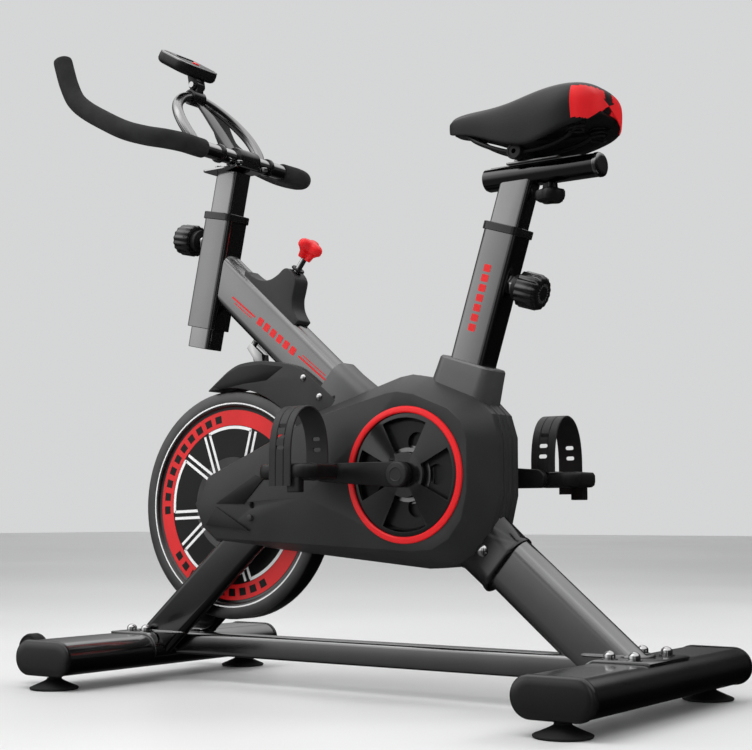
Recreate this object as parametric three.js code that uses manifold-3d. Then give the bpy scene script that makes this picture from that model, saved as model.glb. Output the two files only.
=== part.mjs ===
// Exercise bike with a belt-driven flywheel, built as separate pieces in millimetres, +Z up.
// The rider faces -X and +Y is the rider's right. Lengths along X are counted from the centre
// of the front stabiliser; the finished group is shifted so that its origin is under the
// middle of the whole bike, on the floor. A tube is named by the point in the side view that it
// passes, its lean from upright, and how far it reaches along itself above and below that point.
import * as THREE from "three";
import { mergeVertices } from "three/addons/utils/BufferGeometryUtils.js";
import { ConvexGeometry } from "three/addons/geometries/ConvexGeometry.js";
import Module from "manifold-3d";

const wasm = await Module();
wasm.setup();

// ---------------------------------------------------------------- driving dimensions

const GAP = 0.3; // left between touching pieces
const RUN = 1; // clearance round a moving piece
const OVER = 5; // how far a cutter passes its work

const REAR_X = 896; // rear stabiliser, from the front one
const STABILISER = { length: 500, depth: 117, height: 52.5, z: 49.5, wall: 2, cap: 8.5, capRim: 1.2 };
const STABILISER_TOP = STABILISER.z + STABILISER.height / 2;
const STABILISER_BASE = STABILISER.z - STABILISER.height / 2;
const FOOT = { y: 229, radius: 38, rim: 4, neck: 9, stem: 4, reach: 14, nut: 8 };
const MOUNT_PLATE = { width: 130, thick: 3.5, flat: 44, skirt: 10 };
const PLATE_GROW = GAP + MOUNT_PLATE.thick; // from a stabiliser's skin to the plate's outside
const RAIL = { width: 40, height: 36, z: 61 };
const WHEEL = { x: -86, y: 196, z: 56, radius: 25, width: 22, hub: 5.5, ear: 4 };
const FRONT_EDGE = WHEEL.x - WHEEL.radius;
const REAR_EDGE = REAR_X + STABILISER.depth / 2 + STABILISER.capRim;

const HEAD = { x: 128.5, z: 677, lean: 11.8, top: 100, base: -92, depth: 60, width: 50, wall: 2 };
const SEAT = { x: 663, z: 590, lean: 17.5, top: 107, base: -232, depth: 62, width: 46, wall: 2 };
const COLLAR = { skirt: 8, rise: 4, lip: 3, plug: 26, clear: 0.5 };
const POST_CORNER = 8;
const HEAD_POST = { depth: 48, width: 40, wall: 2, top: 179, base: -126 };
const SEAT_POST = { depth: 54, width: 34, wall: 2, top: 190, base: -110 };
const POST_PLATE = { length: 78, width: 72, thick: 4 };
// Lock knobs: how far up its sleeve each sits, its side of the sleeve and its neck's reach.
const HEAD_KNOB = { at: 53, side: -1, reach: 28 };
const SEAT_KNOB = { at: 27, side: 1, reach: 18 };

const CRANK = { x: 557, z: 331, length: 137, tilt: 2, inner: 77.5, outer: 90, eye: 19, tip: 14 };
const SPINDLE = { radius: 9, half: 94, shell: 25, shellHalf: 40 };
const PULLEY = { drive: 76, driven: 17, flange: 3, y: -55, width: 12 };
const BELT = { thick: 4, width: 10, lift: 1.2 };
const FLYWHEEL = { x: 178.5, z: 290, radius: 186.4, half: 18.4, lip: 0.86, web: 13, hub: 26 };
const SHAFT = { radius: 8, left: -62, right: 50, block: 20 };
const LEG = { y: 34, depth: 66, width: 22, wall: 2, start: [16, 49], end: [428, 408] };
const REAR_LEG = { depth: 86, width: 46, wall: 2, end: [878, 47] };
const DOWN_TUBE = { depth: 76, width: 42, wall: 2, start: [130, 687], end: [537, 333] };

const HOUSING = { face: 72, rim: 30, wall: 2.5, draft: 26, wheelRoom: 21.5 };
const COVER = { radius: 91, hub: 24, ring: 101, ringLift: 3, thick: 3, spokes: 4 };
const FENDER = { half: 30, wall: 3, room: 3.5 };

const BRAKE = { top: [304, 672], slope: 38, rod: 5, knobRise: 34, knob: 23, neck: 16, low: -158 };
const BAR = { x: 184, z: 867, radius: 12.5, grip: 15.8, gripStart: 102 };
const ARCH = { radius: 9, top: [74, 993] };
const CONSOLE = { x: 55, z: 1053, tilt: 30, length: 85, width: 95, thick: 22, corner: 26 };
const CONSOLE_PIVOT = { x: 78, z: 1014, radius: 3, tongue: 8, ear: 4 };
const BUTTON = { radius: 6, rise: 2.5, depth: 9, along: -24, across: -8 };
const KNOB = { radius: 27, length: 36, neck: 9, flange: 19, bolt: 5, tip: 3 };

const PEDAL = { y: 146, length: 105, width: 86, height: 22, spindle: 6, barrel: 12 };
const STRAP = { width: 40, height: 96, thick: 3, inner: 10, outer: -24 };
const SEAT_TUBE = { front: 662, rear: 848, z: 768, width: 40, height: 33, wall: 2 };
const CARRIAGE = { front: 700, rear: 786, thick: 3, x: 766, bolt: 5, travel: 55 };
const CLAMP = { x: 722, z: 799.5, radius: 11, width: 44 };

// ---------------------------------------------------------------- colours

const FINISH = {
  tube: { color: 0x2b2d30, roughness: 0.22, metalness: 0.85 },
  chrome: { color: 0xc9ccd0, roughness: 0.12, metalness: 1 },
  steel: { color: 0x8d9196, roughness: 0.35, metalness: 1 },
  casing: { color: 0x3a3b3c, roughness: 0.6, metalness: 0 },
  black: { color: 0x151617, roughness: 0.5, metalness: 0 },
  rubber: { color: 0x101010, roughness: 0.9, metalness: 0 },
  foam: { color: 0x303133, roughness: 0.95, metalness: 0 },
  leather: { color: 0x1a1a1b, roughness: 0.55, metalness: 0 },
  red: { color: 0xc9171c, roughness: 0.4, metalness: 0 },
  iron: { color: 0x4a4b4d, roughness: 0.5, metalness: 0.6 },
};

// ---------------------------------------------------------------- solids

const radians = THREE.MathUtils.degToRad;

/** Turns a closed three.js geometry into a solid that can be joined and cut. */
function toSolid(geometry, place = new THREE.Matrix4()) {
  geometry.deleteAttribute("normal");
  geometry.deleteAttribute("uv");
  const merged = mergeVertices(geometry, 1e-3);
  const index = merged.index.array;
  const faces = [];
  for (let i = 0; i < index.length; i += 3) {
    const [a, b, c] = [index[i], index[i + 1], index[i + 2]];
    if (a !== b && b !== c && c !== a) faces.push(a, b, c);
  }
  const vertProperties = new Float32Array(merged.attributes.position.array);
  const triVerts = new Uint32Array(faces);
  const solid = new wasm.Manifold(new wasm.Mesh({ numProp: 3, vertProperties, triVerts }));
  return solid.transform(place.elements);
}

/** Turns a solid back into a three.js geometry. */
function toGeometry(solid) {
  const mesh = solid.getMesh();
  const geometry = new THREE.BufferGeometry();
  geometry.setAttribute("position", new THREE.BufferAttribute(mesh.vertProperties, 3));
  geometry.setIndex(new THREE.BufferAttribute(mesh.triVerts, 1));
  geometry.computeVertexNormals();
  return geometry;
}

function join(...solids) {
  return solids.reduce((whole, piece) => whole.add(piece));
}

function cut(solid, ...tools) {
  return tools.reduce((rest, tool) => rest.subtract(tool), solid);
}

/** A matrix whose columns are three axes and a place. */
function frameAt(origin, x, y, z) {
  return new THREE.Matrix4().makeBasis(x, y, z).setPosition(...origin);
}

const X = new THREE.Vector3(1, 0, 0);
const Y = new THREE.Vector3(0, 1, 0);
const Z = new THREE.Vector3(0, 0, 1);

/** A box between two corners. */
function block(low, high) {
  const size = high.map((value, i) => value - low[i]);
  const middle = high.map((value, i) => (value + low[i]) / 2);
  return toSolid(new THREE.BoxGeometry(...size), new THREE.Matrix4().setPosition(...middle));
}

/** A rounded rectangle centred on the origin; a radius of half its height makes a flat oval. */
function roundedRect(width, height, radius) {
  const [w, h] = [width / 2, height / 2];
  const shape = new THREE.Shape();
  shape.moveTo(-w + radius, -h);
  shape.absarc(w - radius, -h + radius, radius, -Math.PI / 2, 0);
  shape.absarc(w - radius, h - radius, radius, 0, Math.PI / 2);
  shape.absarc(-w + radius, h - radius, radius, Math.PI / 2, Math.PI);
  shape.absarc(-w + radius, -h + radius, radius, Math.PI, 1.5 * Math.PI);
  return shape;
}

function oval(width, height) {
  return roundedRect(width, height, Math.min(width, height) / 2 - 0.01);
}

function extrude(shape, depth, place, curveSegments = 3) {
  const geometry = new THREE.ExtrudeGeometry(shape, { depth, curveSegments, bevelEnabled: false });
  return toSolid(geometry, place);
}

/** A shape drawn in the side view (X to the right, Z up), from y0 to y1. */
function sidePlate(shape, y0, y1, curveSegments = 3) {
  return extrude(shape, y1 - y0, frameAt([0, y1, 0], X, Z, Y.clone().negate()), curveSegments);
}

/** A section run along Y; its width is along X. */
function acrossBar(shape, y0, y1, x, z, curveSegments = 3) {
  return extrude(shape, y1 - y0, frameAt([x, y1, z], X, Z, Y.clone().negate()), curveSegments);
}

/** A section run from one point of the side view to another; its first side lies in that view. */
function member(shape, start, end, y = 0, curveSegments = 3) {
  const along = new THREE.Vector3(end[0] - start[0], 0, end[1] - start[1]);
  const length = along.length();
  const direction = along.normalize();
  const side = Y.clone().cross(direction);
  return extrude(shape, length, frameAt([start[0], y, start[1]], side, Y, direction), curveSegments);
}

/** A round bar along an axis, from a to b along it, through a point. */
function rod(radius, point, direction, a, b, sides = 16, tipRadius = radius) {
  const axis = direction.clone().normalize();
  const side = Math.abs(axis.y) > 0.9 ? Z.clone() : Y.clone();
  const x = side.clone().cross(axis).normalize();
  const z = x.clone().cross(axis);
  const centre = new THREE.Vector3(...point).addScaledVector(axis, (a + b) / 2);
  const geometry = new THREE.CylinderGeometry(tipRadius, radius, b - a, sides);
  return toSolid(geometry, frameAt(centre.toArray(), x, axis, z));
}

/** A turned solid: its profile of [radius, height] points starts and ends on the axis. */
function turned(profile, point, direction, sides = 32) {
  const axis = direction.clone().normalize();
  const side = Math.abs(axis.y) > 0.9 ? Z.clone() : Y.clone();
  const x = side.clone().cross(axis).normalize();
  const z = x.clone().cross(axis);
  const points = profile.map(([radius, height]) => new THREE.Vector2(radius, height));
  return toSolid(new THREE.LatheGeometry(points, sides), frameAt(point, x, axis, z));
}

/** A round bar swept along a curve. */
function sweep(curve, radius, steps, sides = 12) {
  const shape = new THREE.Shape();
  shape.absarc(0, 0, radius, 0, 2 * Math.PI);
  const geometry = new THREE.ExtrudeGeometry(shape, {
    extrudePath: curve, steps, curveSegments: sides, bevelEnabled: false,
  });
  return toSolid(geometry);
}

/** The stretch of a curve between two fractions of its length. */
class Stretch extends THREE.Curve {
  constructor(curve, from, to) {
    super();
    Object.assign(this, { curve, from, to });
  }

  getPoint(t, target = new THREE.Vector3()) {
    return target.copy(this.curve.getPointAt(this.from + t * (this.to - this.from)));
  }
}

function hull(points) {
  return toSolid(new ConvexGeometry(points.map((point) => new THREE.Vector3(...point))));
}

function outline(points) {
  return new THREE.Shape(points.map(([x, z]) => new THREE.Vector2(x, z)));
}

/** A point of the side view reached from a leaning tube's reference, along it and across it. */
function alongTube(tube, along, across = 0) {
  const lean = radians(tube.lean);
  const x = tube.x + along * Math.sin(lean) + across * Math.cos(lean);
  const z = tube.z + along * Math.cos(lean) - across * Math.sin(lean);
  return [x, z];
}

/** The same point in space, in the middle plane. */
function onTube(tube, along) {
  const [x, z] = alongTube(tube, along);
  return [x, 0, z];
}

function tubeNormal(tube) {
  return new THREE.Vector3(Math.cos(radians(tube.lean)), 0, -Math.sin(radians(tube.lean)));
}

// ---------------------------------------------------------------- the assembly

const bike = new THREE.Group();
bike.position.x = -(FRONT_EDGE + REAR_EDGE) / 2;

function add(name, solid, finish) {
  const mesh = new THREE.Mesh(toGeometry(solid), new THREE.MeshStandardMaterial(FINISH[finish]));
  mesh.name = name;
  bike.add(mesh);
}

const SIDES = [["left", -1], ["right", 1]];
const ENDS = [["front", 0, -1], ["rear", REAR_X, 1]];

// ---------------------------------------------------------------- base

function stabiliserSection(grow) {
  return oval(STABILISER.depth + 2 * grow, STABILISER.height + 2 * grow);
}

function footHole(x, side) {
  return rod(FOOT.stem + 0.6, [x, side * FOOT.y, 0], Z, 0, STABILISER.z, 8);
}

/** Two ears and the lug behind them, which carry one transport wheel. */
function wheelBracket(side) {
  const reach = STABILISER.depth / 2;
  const lug = member(roundedRect(16, WHEEL.ear, 1), [-reach + 8, WHEEL.z - 4], [WHEEL.x, WHEEL.z], 0, 1);
  const eye = rod(8, [WHEEL.x, 0, WHEEL.z], Y, -WHEEL.ear / 2, WHEEL.ear / 2, 12);
  const ear = cut(join(lug, eye), stabiliserFill(-STABILISER.wall / 2, 0));
  const offset = WHEEL.width / 2 + RUN + WHEEL.ear / 2;
  const pin = rod(WHEEL.hub - 0.5, [WHEEL.x, side * WHEEL.y, WHEEL.z], Y, -offset, offset, 10);
  const ears = [-1, 1].map((end) => ear.translate(0, side * WHEEL.y + end * offset, 0));
  return join(...ears, pin);
}

/** The whole inside of a stabiliser as one solid, grown by an amount. */
function stabiliserFill(grow, x) {
  const half = STABILISER.length / 2 + STABILISER.cap;
  return acrossBar(stabiliserSection(grow), -half, half, x, STABILISER.z, 2);
}

function stabiliser(x) {
  const half = STABILISER.length / 2;
  const outer = acrossBar(stabiliserSection(0), -half, half, x, STABILISER.z, 2);
  const inside = stabiliserSection(-STABILISER.wall);
  const bore = acrossBar(inside, -half - OVER, half + OVER, x, STABILISER.z, 2);
  return cut(outer, bore, footHole(x, -1), footHole(x, 1));
}

function endCap(x, side) {
  const half = STABILISER.length / 2;
  const edge = half + GAP;
  const rim = acrossBar(stabiliserSection(STABILISER.capRim), edge, half + 4, x, STABILISER.z, 2);
  const crown = acrossBar(stabiliserSection(-2.5), half + 4, half + STABILISER.cap, x, STABILISER.z, 2);
  const plugSection = stabiliserSection(-STABILISER.wall - GAP);
  const plug = acrossBar(plugSection, half - 10, half + 1, x, STABILISER.z, 2);
  const core = acrossBar(stabiliserSection(-STABILISER.wall - 4), half - 12, half + 1, x, STABILISER.z, 2);
  const cap = join(cut(plug, core), rim, crown);
  return side > 0 ? cap : cap.mirror([0, 1, 0]);
}

function foot(x, side) {
  const top = STABILISER_BASE - GAP;
  const profile = [
    [0, 0], [FOOT.radius - 2, 0], [FOOT.radius, FOOT.rim / 2], [FOOT.radius - 2, FOOT.rim],
    [FOOT.neck + 3, top - FOOT.nut], [FOOT.neck, top - FOOT.nut], [FOOT.neck, top],
    [FOOT.stem, top], [FOOT.stem, top + FOOT.reach], [0, top + FOOT.reach],
  ];
  return turned(profile, [x, side * FOOT.y, 0], Z, 14);
}

/** The curved plate bolted over a stabiliser, wrapped down the side that faces the other one. */
function mountPlate(x, outward) {
  const half = MOUNT_PLATE.width / 2;
  const outer = acrossBar(stabiliserSection(PLATE_GROW), -half, half, x, STABILISER.z, 2);
  const high = STABILISER_TOP + PLATE_GROW + OVER;
  const low = STABILISER.z - MOUNT_PLATE.skirt;
  const inner = x - outward * (STABILISER.depth / 2 + PLATE_GROW + OVER);
  const wrap = block([Math.min(x, inner), -half, low], [Math.max(x, inner), half, high]);
  const top = block([x - MOUNT_PLATE.flat, -half, STABILISER.z], [x + MOUNT_PLATE.flat, half, high]);
  return cut(outer, stabiliserFill(GAP, x)).intersect(join(wrap, top));
}

for (const [end, x, outward] of ENDS) {
  const tube = stabiliser(x);
  const brackets = SIDES.map(([, side]) => wheelBracket(side));
  add(`${end}_stabilizer`, end === "front" ? join(tube, ...brackets) : tube, "tube");
  add(`${end}_mount_plate`, mountPlate(x, outward), "tube");
  for (const [name, side] of SIDES) {
    add(`${end}_cap_${name}`, endCap(x, side), "black");
    add(`${end}_foot_${name}`, foot(x, side), "rubber");
  }
}

function transportWheel(side) {
  const half = WHEEL.width / 2;
  const bore = WHEEL.hub;
  const rim = WHEEL.radius;
  const points = [
    [bore, -half], [rim - 6, -half], [rim - 1.5, -half + 2], [rim, -half + 5],
    [rim, half - 5], [rim - 1.5, half - 2], [rim - 6, half], [bore, half], [bore, -half],
  ];
  return turned(points, [WHEEL.x, side * WHEEL.y, WHEEL.z], Y, 16);
}

for (const [name, side] of SIDES) add(`transport_wheel_${name}`, transportWheel(side), "rubber");

// ---------------------------------------------------------------- frame tubes

const rearLegAxis = [[CRANK.x, CRANK.z - 14], REAR_LEG.end];
const bracketRoom = rod(SPINDLE.shell + GAP, [CRANK.x, 0, CRANK.z], Y, -80, 80, 24);

/** A straight tube in the side plane with its bore right through. */
function hollowMember(section, inner, start, end, y = 0, curveSegments = 3) {
  const along = [end[0] - start[0], end[1] - start[1]];
  const scale = OVER / Math.hypot(...along);
  const before = [start[0] - along[0] * scale, start[1] - along[1] * scale];
  const after = [end[0] + along[0] * scale, end[1] + along[1] * scale];
  return cut(member(section, start, end, y, curveSegments), member(inner, before, after, y, curveSegments));
}

function sleeveSolid(tube, grow, from = tube.base, to = tube.top) {
  const corner = 10 + grow;
  const section = roundedRect(tube.depth + 2 * grow, tube.width + 2 * grow, corner);
  return member(section, alongTube(tube, from), alongTube(tube, to), 0, 2);
}

/** Everything under the flat tops of the mount plates and the rail. */
const underTubes = block([-200, -200, -OVER], [REAR_X + 200, 200, STABILISER_TOP + PLATE_GROW + 2 * GAP]);
const plateRoom = ENDS.map(([, x]) => acrossBar(
  stabiliserSection(PLATE_GROW + GAP), -MOUNT_PLATE.width, MOUNT_PLATE.width, x, STABILISER.z, 2,
));

function downTubeSolid(grow) {
  const [w, d] = [DOWN_TUBE.width + 2 * grow, DOWN_TUBE.depth + 2 * grow];
  return member(roundedRect(d, w, 14 + grow), DOWN_TUBE.start, DOWN_TUBE.end, 0, 2);
}

function seatTubeRoom(grow) {
  return sleeveSolid(SEAT, grow, SEAT.base - OVER, SEAT.top);
}

function rearLegSolid(grow) {
  const section = oval(REAR_LEG.depth + 2 * grow, REAR_LEG.width + 2 * grow);
  return member(section, ...rearLegAxis);
}

const rearLegBore = member(
  oval(REAR_LEG.depth - 2 * REAR_LEG.wall, REAR_LEG.width - 2 * REAR_LEG.wall),
  [CRANK.x - 23, CRANK.z + 5], [REAR_LEG.end[0] + 23, REAR_LEG.end[1] - 19],
);
const downTubeBore = member(
  roundedRect(DOWN_TUBE.depth - 2 * DOWN_TUBE.wall, DOWN_TUBE.width - 2 * DOWN_TUBE.wall, 12),
  [DOWN_TUBE.start[0] - 20, DOWN_TUBE.start[1] + 17.4], [DOWN_TUBE.end[0] + 20, DOWN_TUBE.end[1] - 17.4],
  0, 2,
);
const brakeAxis = new THREE.Vector3(Math.sin(radians(BRAKE.slope)), 0, Math.cos(radians(BRAKE.slope)));
const brakePoint = [BRAKE.top[0], 0, BRAKE.top[1]];
const brakeHole = rod(BRAKE.rod + RUN, brakePoint, brakeAxis, -150, 60, 12);

/** A hole through one wall of a sleeve or post for the bolt of a lock knob, lower by a distance. */
function boltHole(tube, knob, clearance, below = 0) {
  const axis = tubeNormal(tube).multiplyScalar(knob.side);
  return rod(KNOB.bolt + clearance, onTube(tube, knob.at - below), axis, 10, 60, 10);
}

add("bottom_bracket", cut(
  rod(SPINDLE.shell, [CRANK.x, 0, CRANK.z], Y, -SPINDLE.shellHalf, SPINDLE.shellHalf, 32),
  rod(SPINDLE.radius + 0.5, [CRANK.x, 0, CRANK.z], Y, -60, 60, 24),
), "tube");
add("seat_sleeve", cut(
  sleeveSolid(SEAT, 0), sleeveSolid(SEAT, -SEAT.wall, SEAT.base - OVER, SEAT.top + OVER), bracketRoom,
  boltHole(SEAT, SEAT_KNOB, RUN),
), "tube");
add("down_tube", cut(
  downTubeSolid(0), downTubeBore, sleeveSolid(HEAD, GAP), seatTubeRoom(GAP), bracketRoom, brakeHole,
), "tube");
add("rear_leg", cut(rearLegSolid(0), rearLegBore, seatTubeRoom(GAP), bracketRoom, underTubes), "tube");
add("head_sleeve", cut(
  sleeveSolid(HEAD, 0), sleeveSolid(HEAD, -HEAD.wall, HEAD.base - OVER, HEAD.top + OVER),
  boltHole(HEAD, HEAD_KNOB, RUN),
), "tube");
const railBore = [[-40, RAIL.z], [REAR_X + 40, RAIL.z]];
add("centre_rail", cut(
  member(roundedRect(RAIL.height, RAIL.width, 6), [20, RAIL.z], [REAR_X - 20, RAIL.z], 0, 1),
  member(roundedRect(RAIL.height - 4, RAIL.width - 4, 4), ...railBore, 0, 1), ...plateRoom,
), "tube");

// ---------------------------------------------------------------- front legs and flywheel bearings

function bearingBlock(side) {
  const [x, z] = [FLYWHEEL.x, FLYWHEEL.z];
  const shape = outline([
    [x - 14, z - 14], [x - 14, z + 14], [x + 14, z + 20], [x + 88, z + 6], [x + 30, z - 56],
  ]);
  const [near, far] = [LEG.y - 6, LEG.y + 6];
  const web = side > 0 ? sidePlate(shape, near, far) : sidePlate(shape, -far, -near);
  return join(web, rod(SHAFT.block, [x, side * LEG.y, z], Y, -8, 8, 18));
}

const legSection = oval(LEG.depth, LEG.width);
const legInside = oval(LEG.depth - 2 * LEG.wall, LEG.width - 2 * LEG.wall);

function frontLeg(side) {
  const y = side * LEG.y;
  const bore = member(legInside, LEG.start, LEG.end, y);
  const leg = join(hollowMember(legSection, legInside, LEG.start, LEG.end, y), cut(bearingBlock(side), bore));
  const shaftHole = rod(SHAFT.radius + 0.5, [FLYWHEEL.x, 0, FLYWHEEL.z], Y, -90, 90, 14);
  return cut(leg, shaftHole, underTubes);
}

const downTubeRoom = downTubeSolid(GAP);
for (const [name, side] of SIDES) add(`front_leg_${name}`, cut(frontLeg(side), downTubeRoom), "tube");

// ---------------------------------------------------------------- flywheel and drive

function flywheel() {
  const { radius, half, lip, web, hub } = FLYWHEEL;
  const inner = radius * lip;
  const bore = SHAFT.radius + GAP;
  const profile = [
    [bore, -half], [hub, -half], [hub + 4, -web], [inner - 4, -web], [inner, -half],
    [radius - 3, -half], [radius, -half + 3], [radius, half - 3], [radius - 3, half],
    [inner, half], [inner - 4, web], [hub + 4, web], [hub, half], [bore, half], [bore, -half],
  ];
  return turned(profile, [FLYWHEEL.x, 0, FLYWHEEL.z], Y, 40);
}

function pulleyProfile(radius, bore) {
  const half = PULLEY.width / 2;
  const rim = radius + PULLEY.flange;
  return [
    [bore, -half], [rim, -half], [rim, -half + 0.6], [radius, -half + 0.8],
    [radius, half - 0.8], [rim, half - 0.6], [rim, half], [bore, half], [bore, -half],
  ];
}

function drivePulley() {
  const place = [CRANK.x, PULLEY.y, CRANK.z];
  const wheel = turned(pulleyProfile(PULLEY.drive, SPINDLE.radius + GAP), place, Y, 28);
  const window = sidePlate(oval(34, 22), PULLEY.y - 10, PULLEY.y + 10, 1);
  const windows = [0, 1, 2, 3, 4].map((i) => window.translate(48, 0, 0).rotate(0, 72 * i, 0));
  return cut(wheel, ...windows.map((hole) => hole.translate(CRANK.x, 0, CRANK.z)));
}

/** The closed outline of a belt round both pulleys, at a height above their rims. */
function beltOutline(height) {
  const dx = CRANK.x - FLYWHEEL.x;
  const dz = CRANK.z - FLYWHEEL.z;
  const big = PULLEY.drive + height;
  const small = PULLEY.driven + height;
  const slope = Math.atan2(dz, dx);
  const open = Math.acos((big - small) / Math.hypot(dx, dz));
  const shape = new THREE.Shape();
  shape.absarc(CRANK.x, CRANK.z, big, slope + Math.PI - open - 2 * (Math.PI - open), slope + Math.PI - open);
  shape.absarc(FLYWHEEL.x, FLYWHEEL.z, small, slope + Math.PI - open, slope + Math.PI + open);
  return shape;
}

function driveBelt() {
  const half = BELT.width / 2;
  const outer = sidePlate(beltOutline(BELT.lift + BELT.thick), PULLEY.y - half, PULLEY.y + half, 7);
  const inner = sidePlate(beltOutline(BELT.lift), PULLEY.y - half - OVER, PULLEY.y + half + OVER, 7);
  return cut(outer, inner);
}

const shaftProfile = [
  [0, SHAFT.left], [SHAFT.radius - 1, SHAFT.left], [SHAFT.radius, SHAFT.left + 1],
  [SHAFT.radius, SHAFT.right - 1], [SHAFT.radius - 1, SHAFT.right], [0, SHAFT.right],
];
const smallPulley = turned(pulleyProfile(PULLEY.driven, 4), [FLYWHEEL.x, PULLEY.y, FLYWHEEL.z], Y, 16);
add("flywheel", flywheel(), "iron");
add("flywheel_shaft", join(turned(shaftProfile, [FLYWHEEL.x, 0, FLYWHEEL.z], Y, 16), smallPulley), "steel");
add("drive_pulley", drivePulley(), "steel");
add("drive_belt", driveBelt(), "rubber");

// ---------------------------------------------------------------- cranks and pedals

/** The eye end, the tip end and the direction of one crank; the two point opposite ways. */
function crankLine(side) {
  const turn = radians(CRANK.tilt);
  const direction = [side * Math.cos(turn), -side * Math.sin(turn)];
  return direction.map((value, i) => [CRANK.x, CRANK.z][i] + value * CRANK.length);
}

function betweenY(side, near, far) {
  return side > 0 ? [near, far] : [-far, -near];
}

function crankArm(side) {
  const [px, pz] = crankLine(side);
  const [y0, y1] = betweenY(side, CRANK.inner, CRANK.outer);
  const angle = Math.atan2(pz - CRANK.z, px - CRANK.x);
  const spread = Math.acos((CRANK.eye - CRANK.tip) / CRANK.length);
  const shape = new THREE.Shape();
  shape.absarc(CRANK.x, CRANK.z, CRANK.eye, angle + spread, angle - spread + 2 * Math.PI);
  shape.absarc(px, pz, CRANK.tip, angle - spread, angle + spread);
  const arm = sidePlate(shape, y0, y1, 6);
  const bore = rod(SPINDLE.radius + GAP, [CRANK.x, 0, CRANK.z], Y, y0 - OVER, y1 + OVER, 20);
  const [s0, s1] = betweenY(side, CRANK.outer - 2, PEDAL.y + PEDAL.width / 2 - 8);
  return join(cut(arm, bore), rod(PEDAL.spindle, [px, 0, pz], Y, s0, s1, 16));
}

function pedal(side) {
  const [px, pz] = crankLine(side);
  const [near, far] = [PEDAL.y - PEDAL.width / 2, PEDAL.y + PEDAL.width / 2];
  const [y0, y1] = betweenY(side, near, far);
  const [l, h] = [PEDAL.length / 2, PEDAL.height / 2];
  const side2d = outline([
    [px - l, pz - 2], [px - l + 8, pz + h - 3], [px - l + 24, pz + h], [px + l - 24, pz + h],
    [px + l - 8, pz + h - 3], [px + l, pz - 2], [px + l - 8, pz - h], [px - l + 8, pz - h],
  ]);
  const plan = roundedRect(PEDAL.length, PEDAL.width, 22);
  const middle = (y0 + y1) / 2;
  const column = extrude(plan, 60, frameAt([px, middle, pz - 30], X, Y, Z), 3);
  const [w0, w1] = betweenY(side, far - 16, far - 2);
  const weight = sidePlate(outline([
    [px + 8, pz - h + 2], [px + 34, pz - h + 2], [px + 34, pz - 33], [px + 8, pz - 33],
  ]), w0, w1);
  const barrel = rod(PEDAL.barrel, [px, 0, pz], Y, y0 + 1, y1 - 1, 20);
  const [b0, b1] = betweenY(side, near - OVER, far - 4);
  const bore = rod(PEDAL.spindle + 0.6, [px, 0, pz], Y, b0, b1, 20);
  return cut(join(sidePlate(side2d, y0, y1).intersect(column), weight, barrel), bore);
}

/** The toe strap: a band of rubber over the foot, from the pedal's outer side to its inner side. */
function strap(side) {
  const [px, pz] = crankLine(side);
  const reach = PEDAL.width / 2 + GAP;
  const [leftLow, rightLow] = side > 0 ? [STRAP.inner, STRAP.outer] : [STRAP.outer, STRAP.inner];
  const arch = (grow) => {
    const shape = new THREE.Shape();
    const half = reach + grow;
    shape.moveTo(-half, leftLow - grow);
    shape.lineTo(half, rightLow - grow);
    shape.lineTo(half, 40);
    const [crown, shoulder] = [STRAP.height + grow, STRAP.height * 0.85 + grow];
    shape.bezierCurveTo(half, shoulder, half * 0.6, crown, 0, crown);
    shape.bezierCurveTo(-half * 0.6, crown, -half, shoulder, -half, 40);
    return shape;
  };
  const x0 = px - STRAP.width / 2;
  const place = frameAt([x0, side * PEDAL.y, pz], Y, Z, X);
  const openPlace = frameAt([x0 - OVER, side * PEDAL.y, pz - OVER], Y, Z, X);
  const outer = extrude(arch(STRAP.thick), STRAP.width, place, 4);
  const pin = rod(PEDAL.spindle + 3, [px, 0, pz], Y, -400, 400, 16);
  const inside = extrude(arch(0), STRAP.width + 2 * OVER, openPlace, 4);
  return cut(outer, inside, pin);
}

add("crank_spindle", rod(SPINDLE.radius, [CRANK.x, 0, CRANK.z], Y, -SPINDLE.half, SPINDLE.half, 24), "steel");
for (const [name, side] of SIDES) {
  add(`crank_arm_${name}`, crankArm(side), "black");
  add(`pedal_${name}`, pedal(side), "black");
  add(`pedal_strap_${name}`, strap(side), "rubber");
}

// ---------------------------------------------------------------- housing

/** The side view of the belt housing, from its nose round the top, the rear and the bottom. */
const HOUSING_OUTLINE = [
  [128, 290], [158, 334], [371, 436], [522, 480], [545, 483], [576, 477], [654, 446], [682, 418],
  [692, 385], [692, 300], [680, 250], [650, 213], [613, 196], [575, 193], [160, 230], [140, 248],
];
const HOUSING_CENTRE = [470, 331];

/** The outline drawn in towards the middle by a distance along each radius. */
function drawnIn(points, distance) {
  return points.map(([x, z]) => {
    const [dx, dz] = [x - HOUSING_CENTRE[0], z - HOUSING_CENTRE[1]];
    const scale = 1 - distance / Math.hypot(dx, dz);
    return [HOUSING_CENTRE[0] + dx * scale, HOUSING_CENTRE[1] + dz * scale];
  });
}

/** Half of the housing as one solid block, its seam in the middle plane. */
function housingBlock(side, wall) {
  const rim = drawnIn(HOUSING_OUTLINE, wall);
  const face = drawnIn(HOUSING_OUTLINE, HOUSING.draft + wall);
  const flat = (points, y) => points.map(([x, z]) => [x, side * y, z]);
  const noseDrop = (points) => points.map(([x, y, z]) => [x, x < 300 ? y * 0.96 : y, z]);
  return hull([
    ...flat(rim, wall > 0 ? -OVER : GAP / 2), ...flat(rim, HOUSING.rim - wall / 2),
    ...noseDrop(flat(face, HOUSING.face - wall)),
  ]);
}

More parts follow.
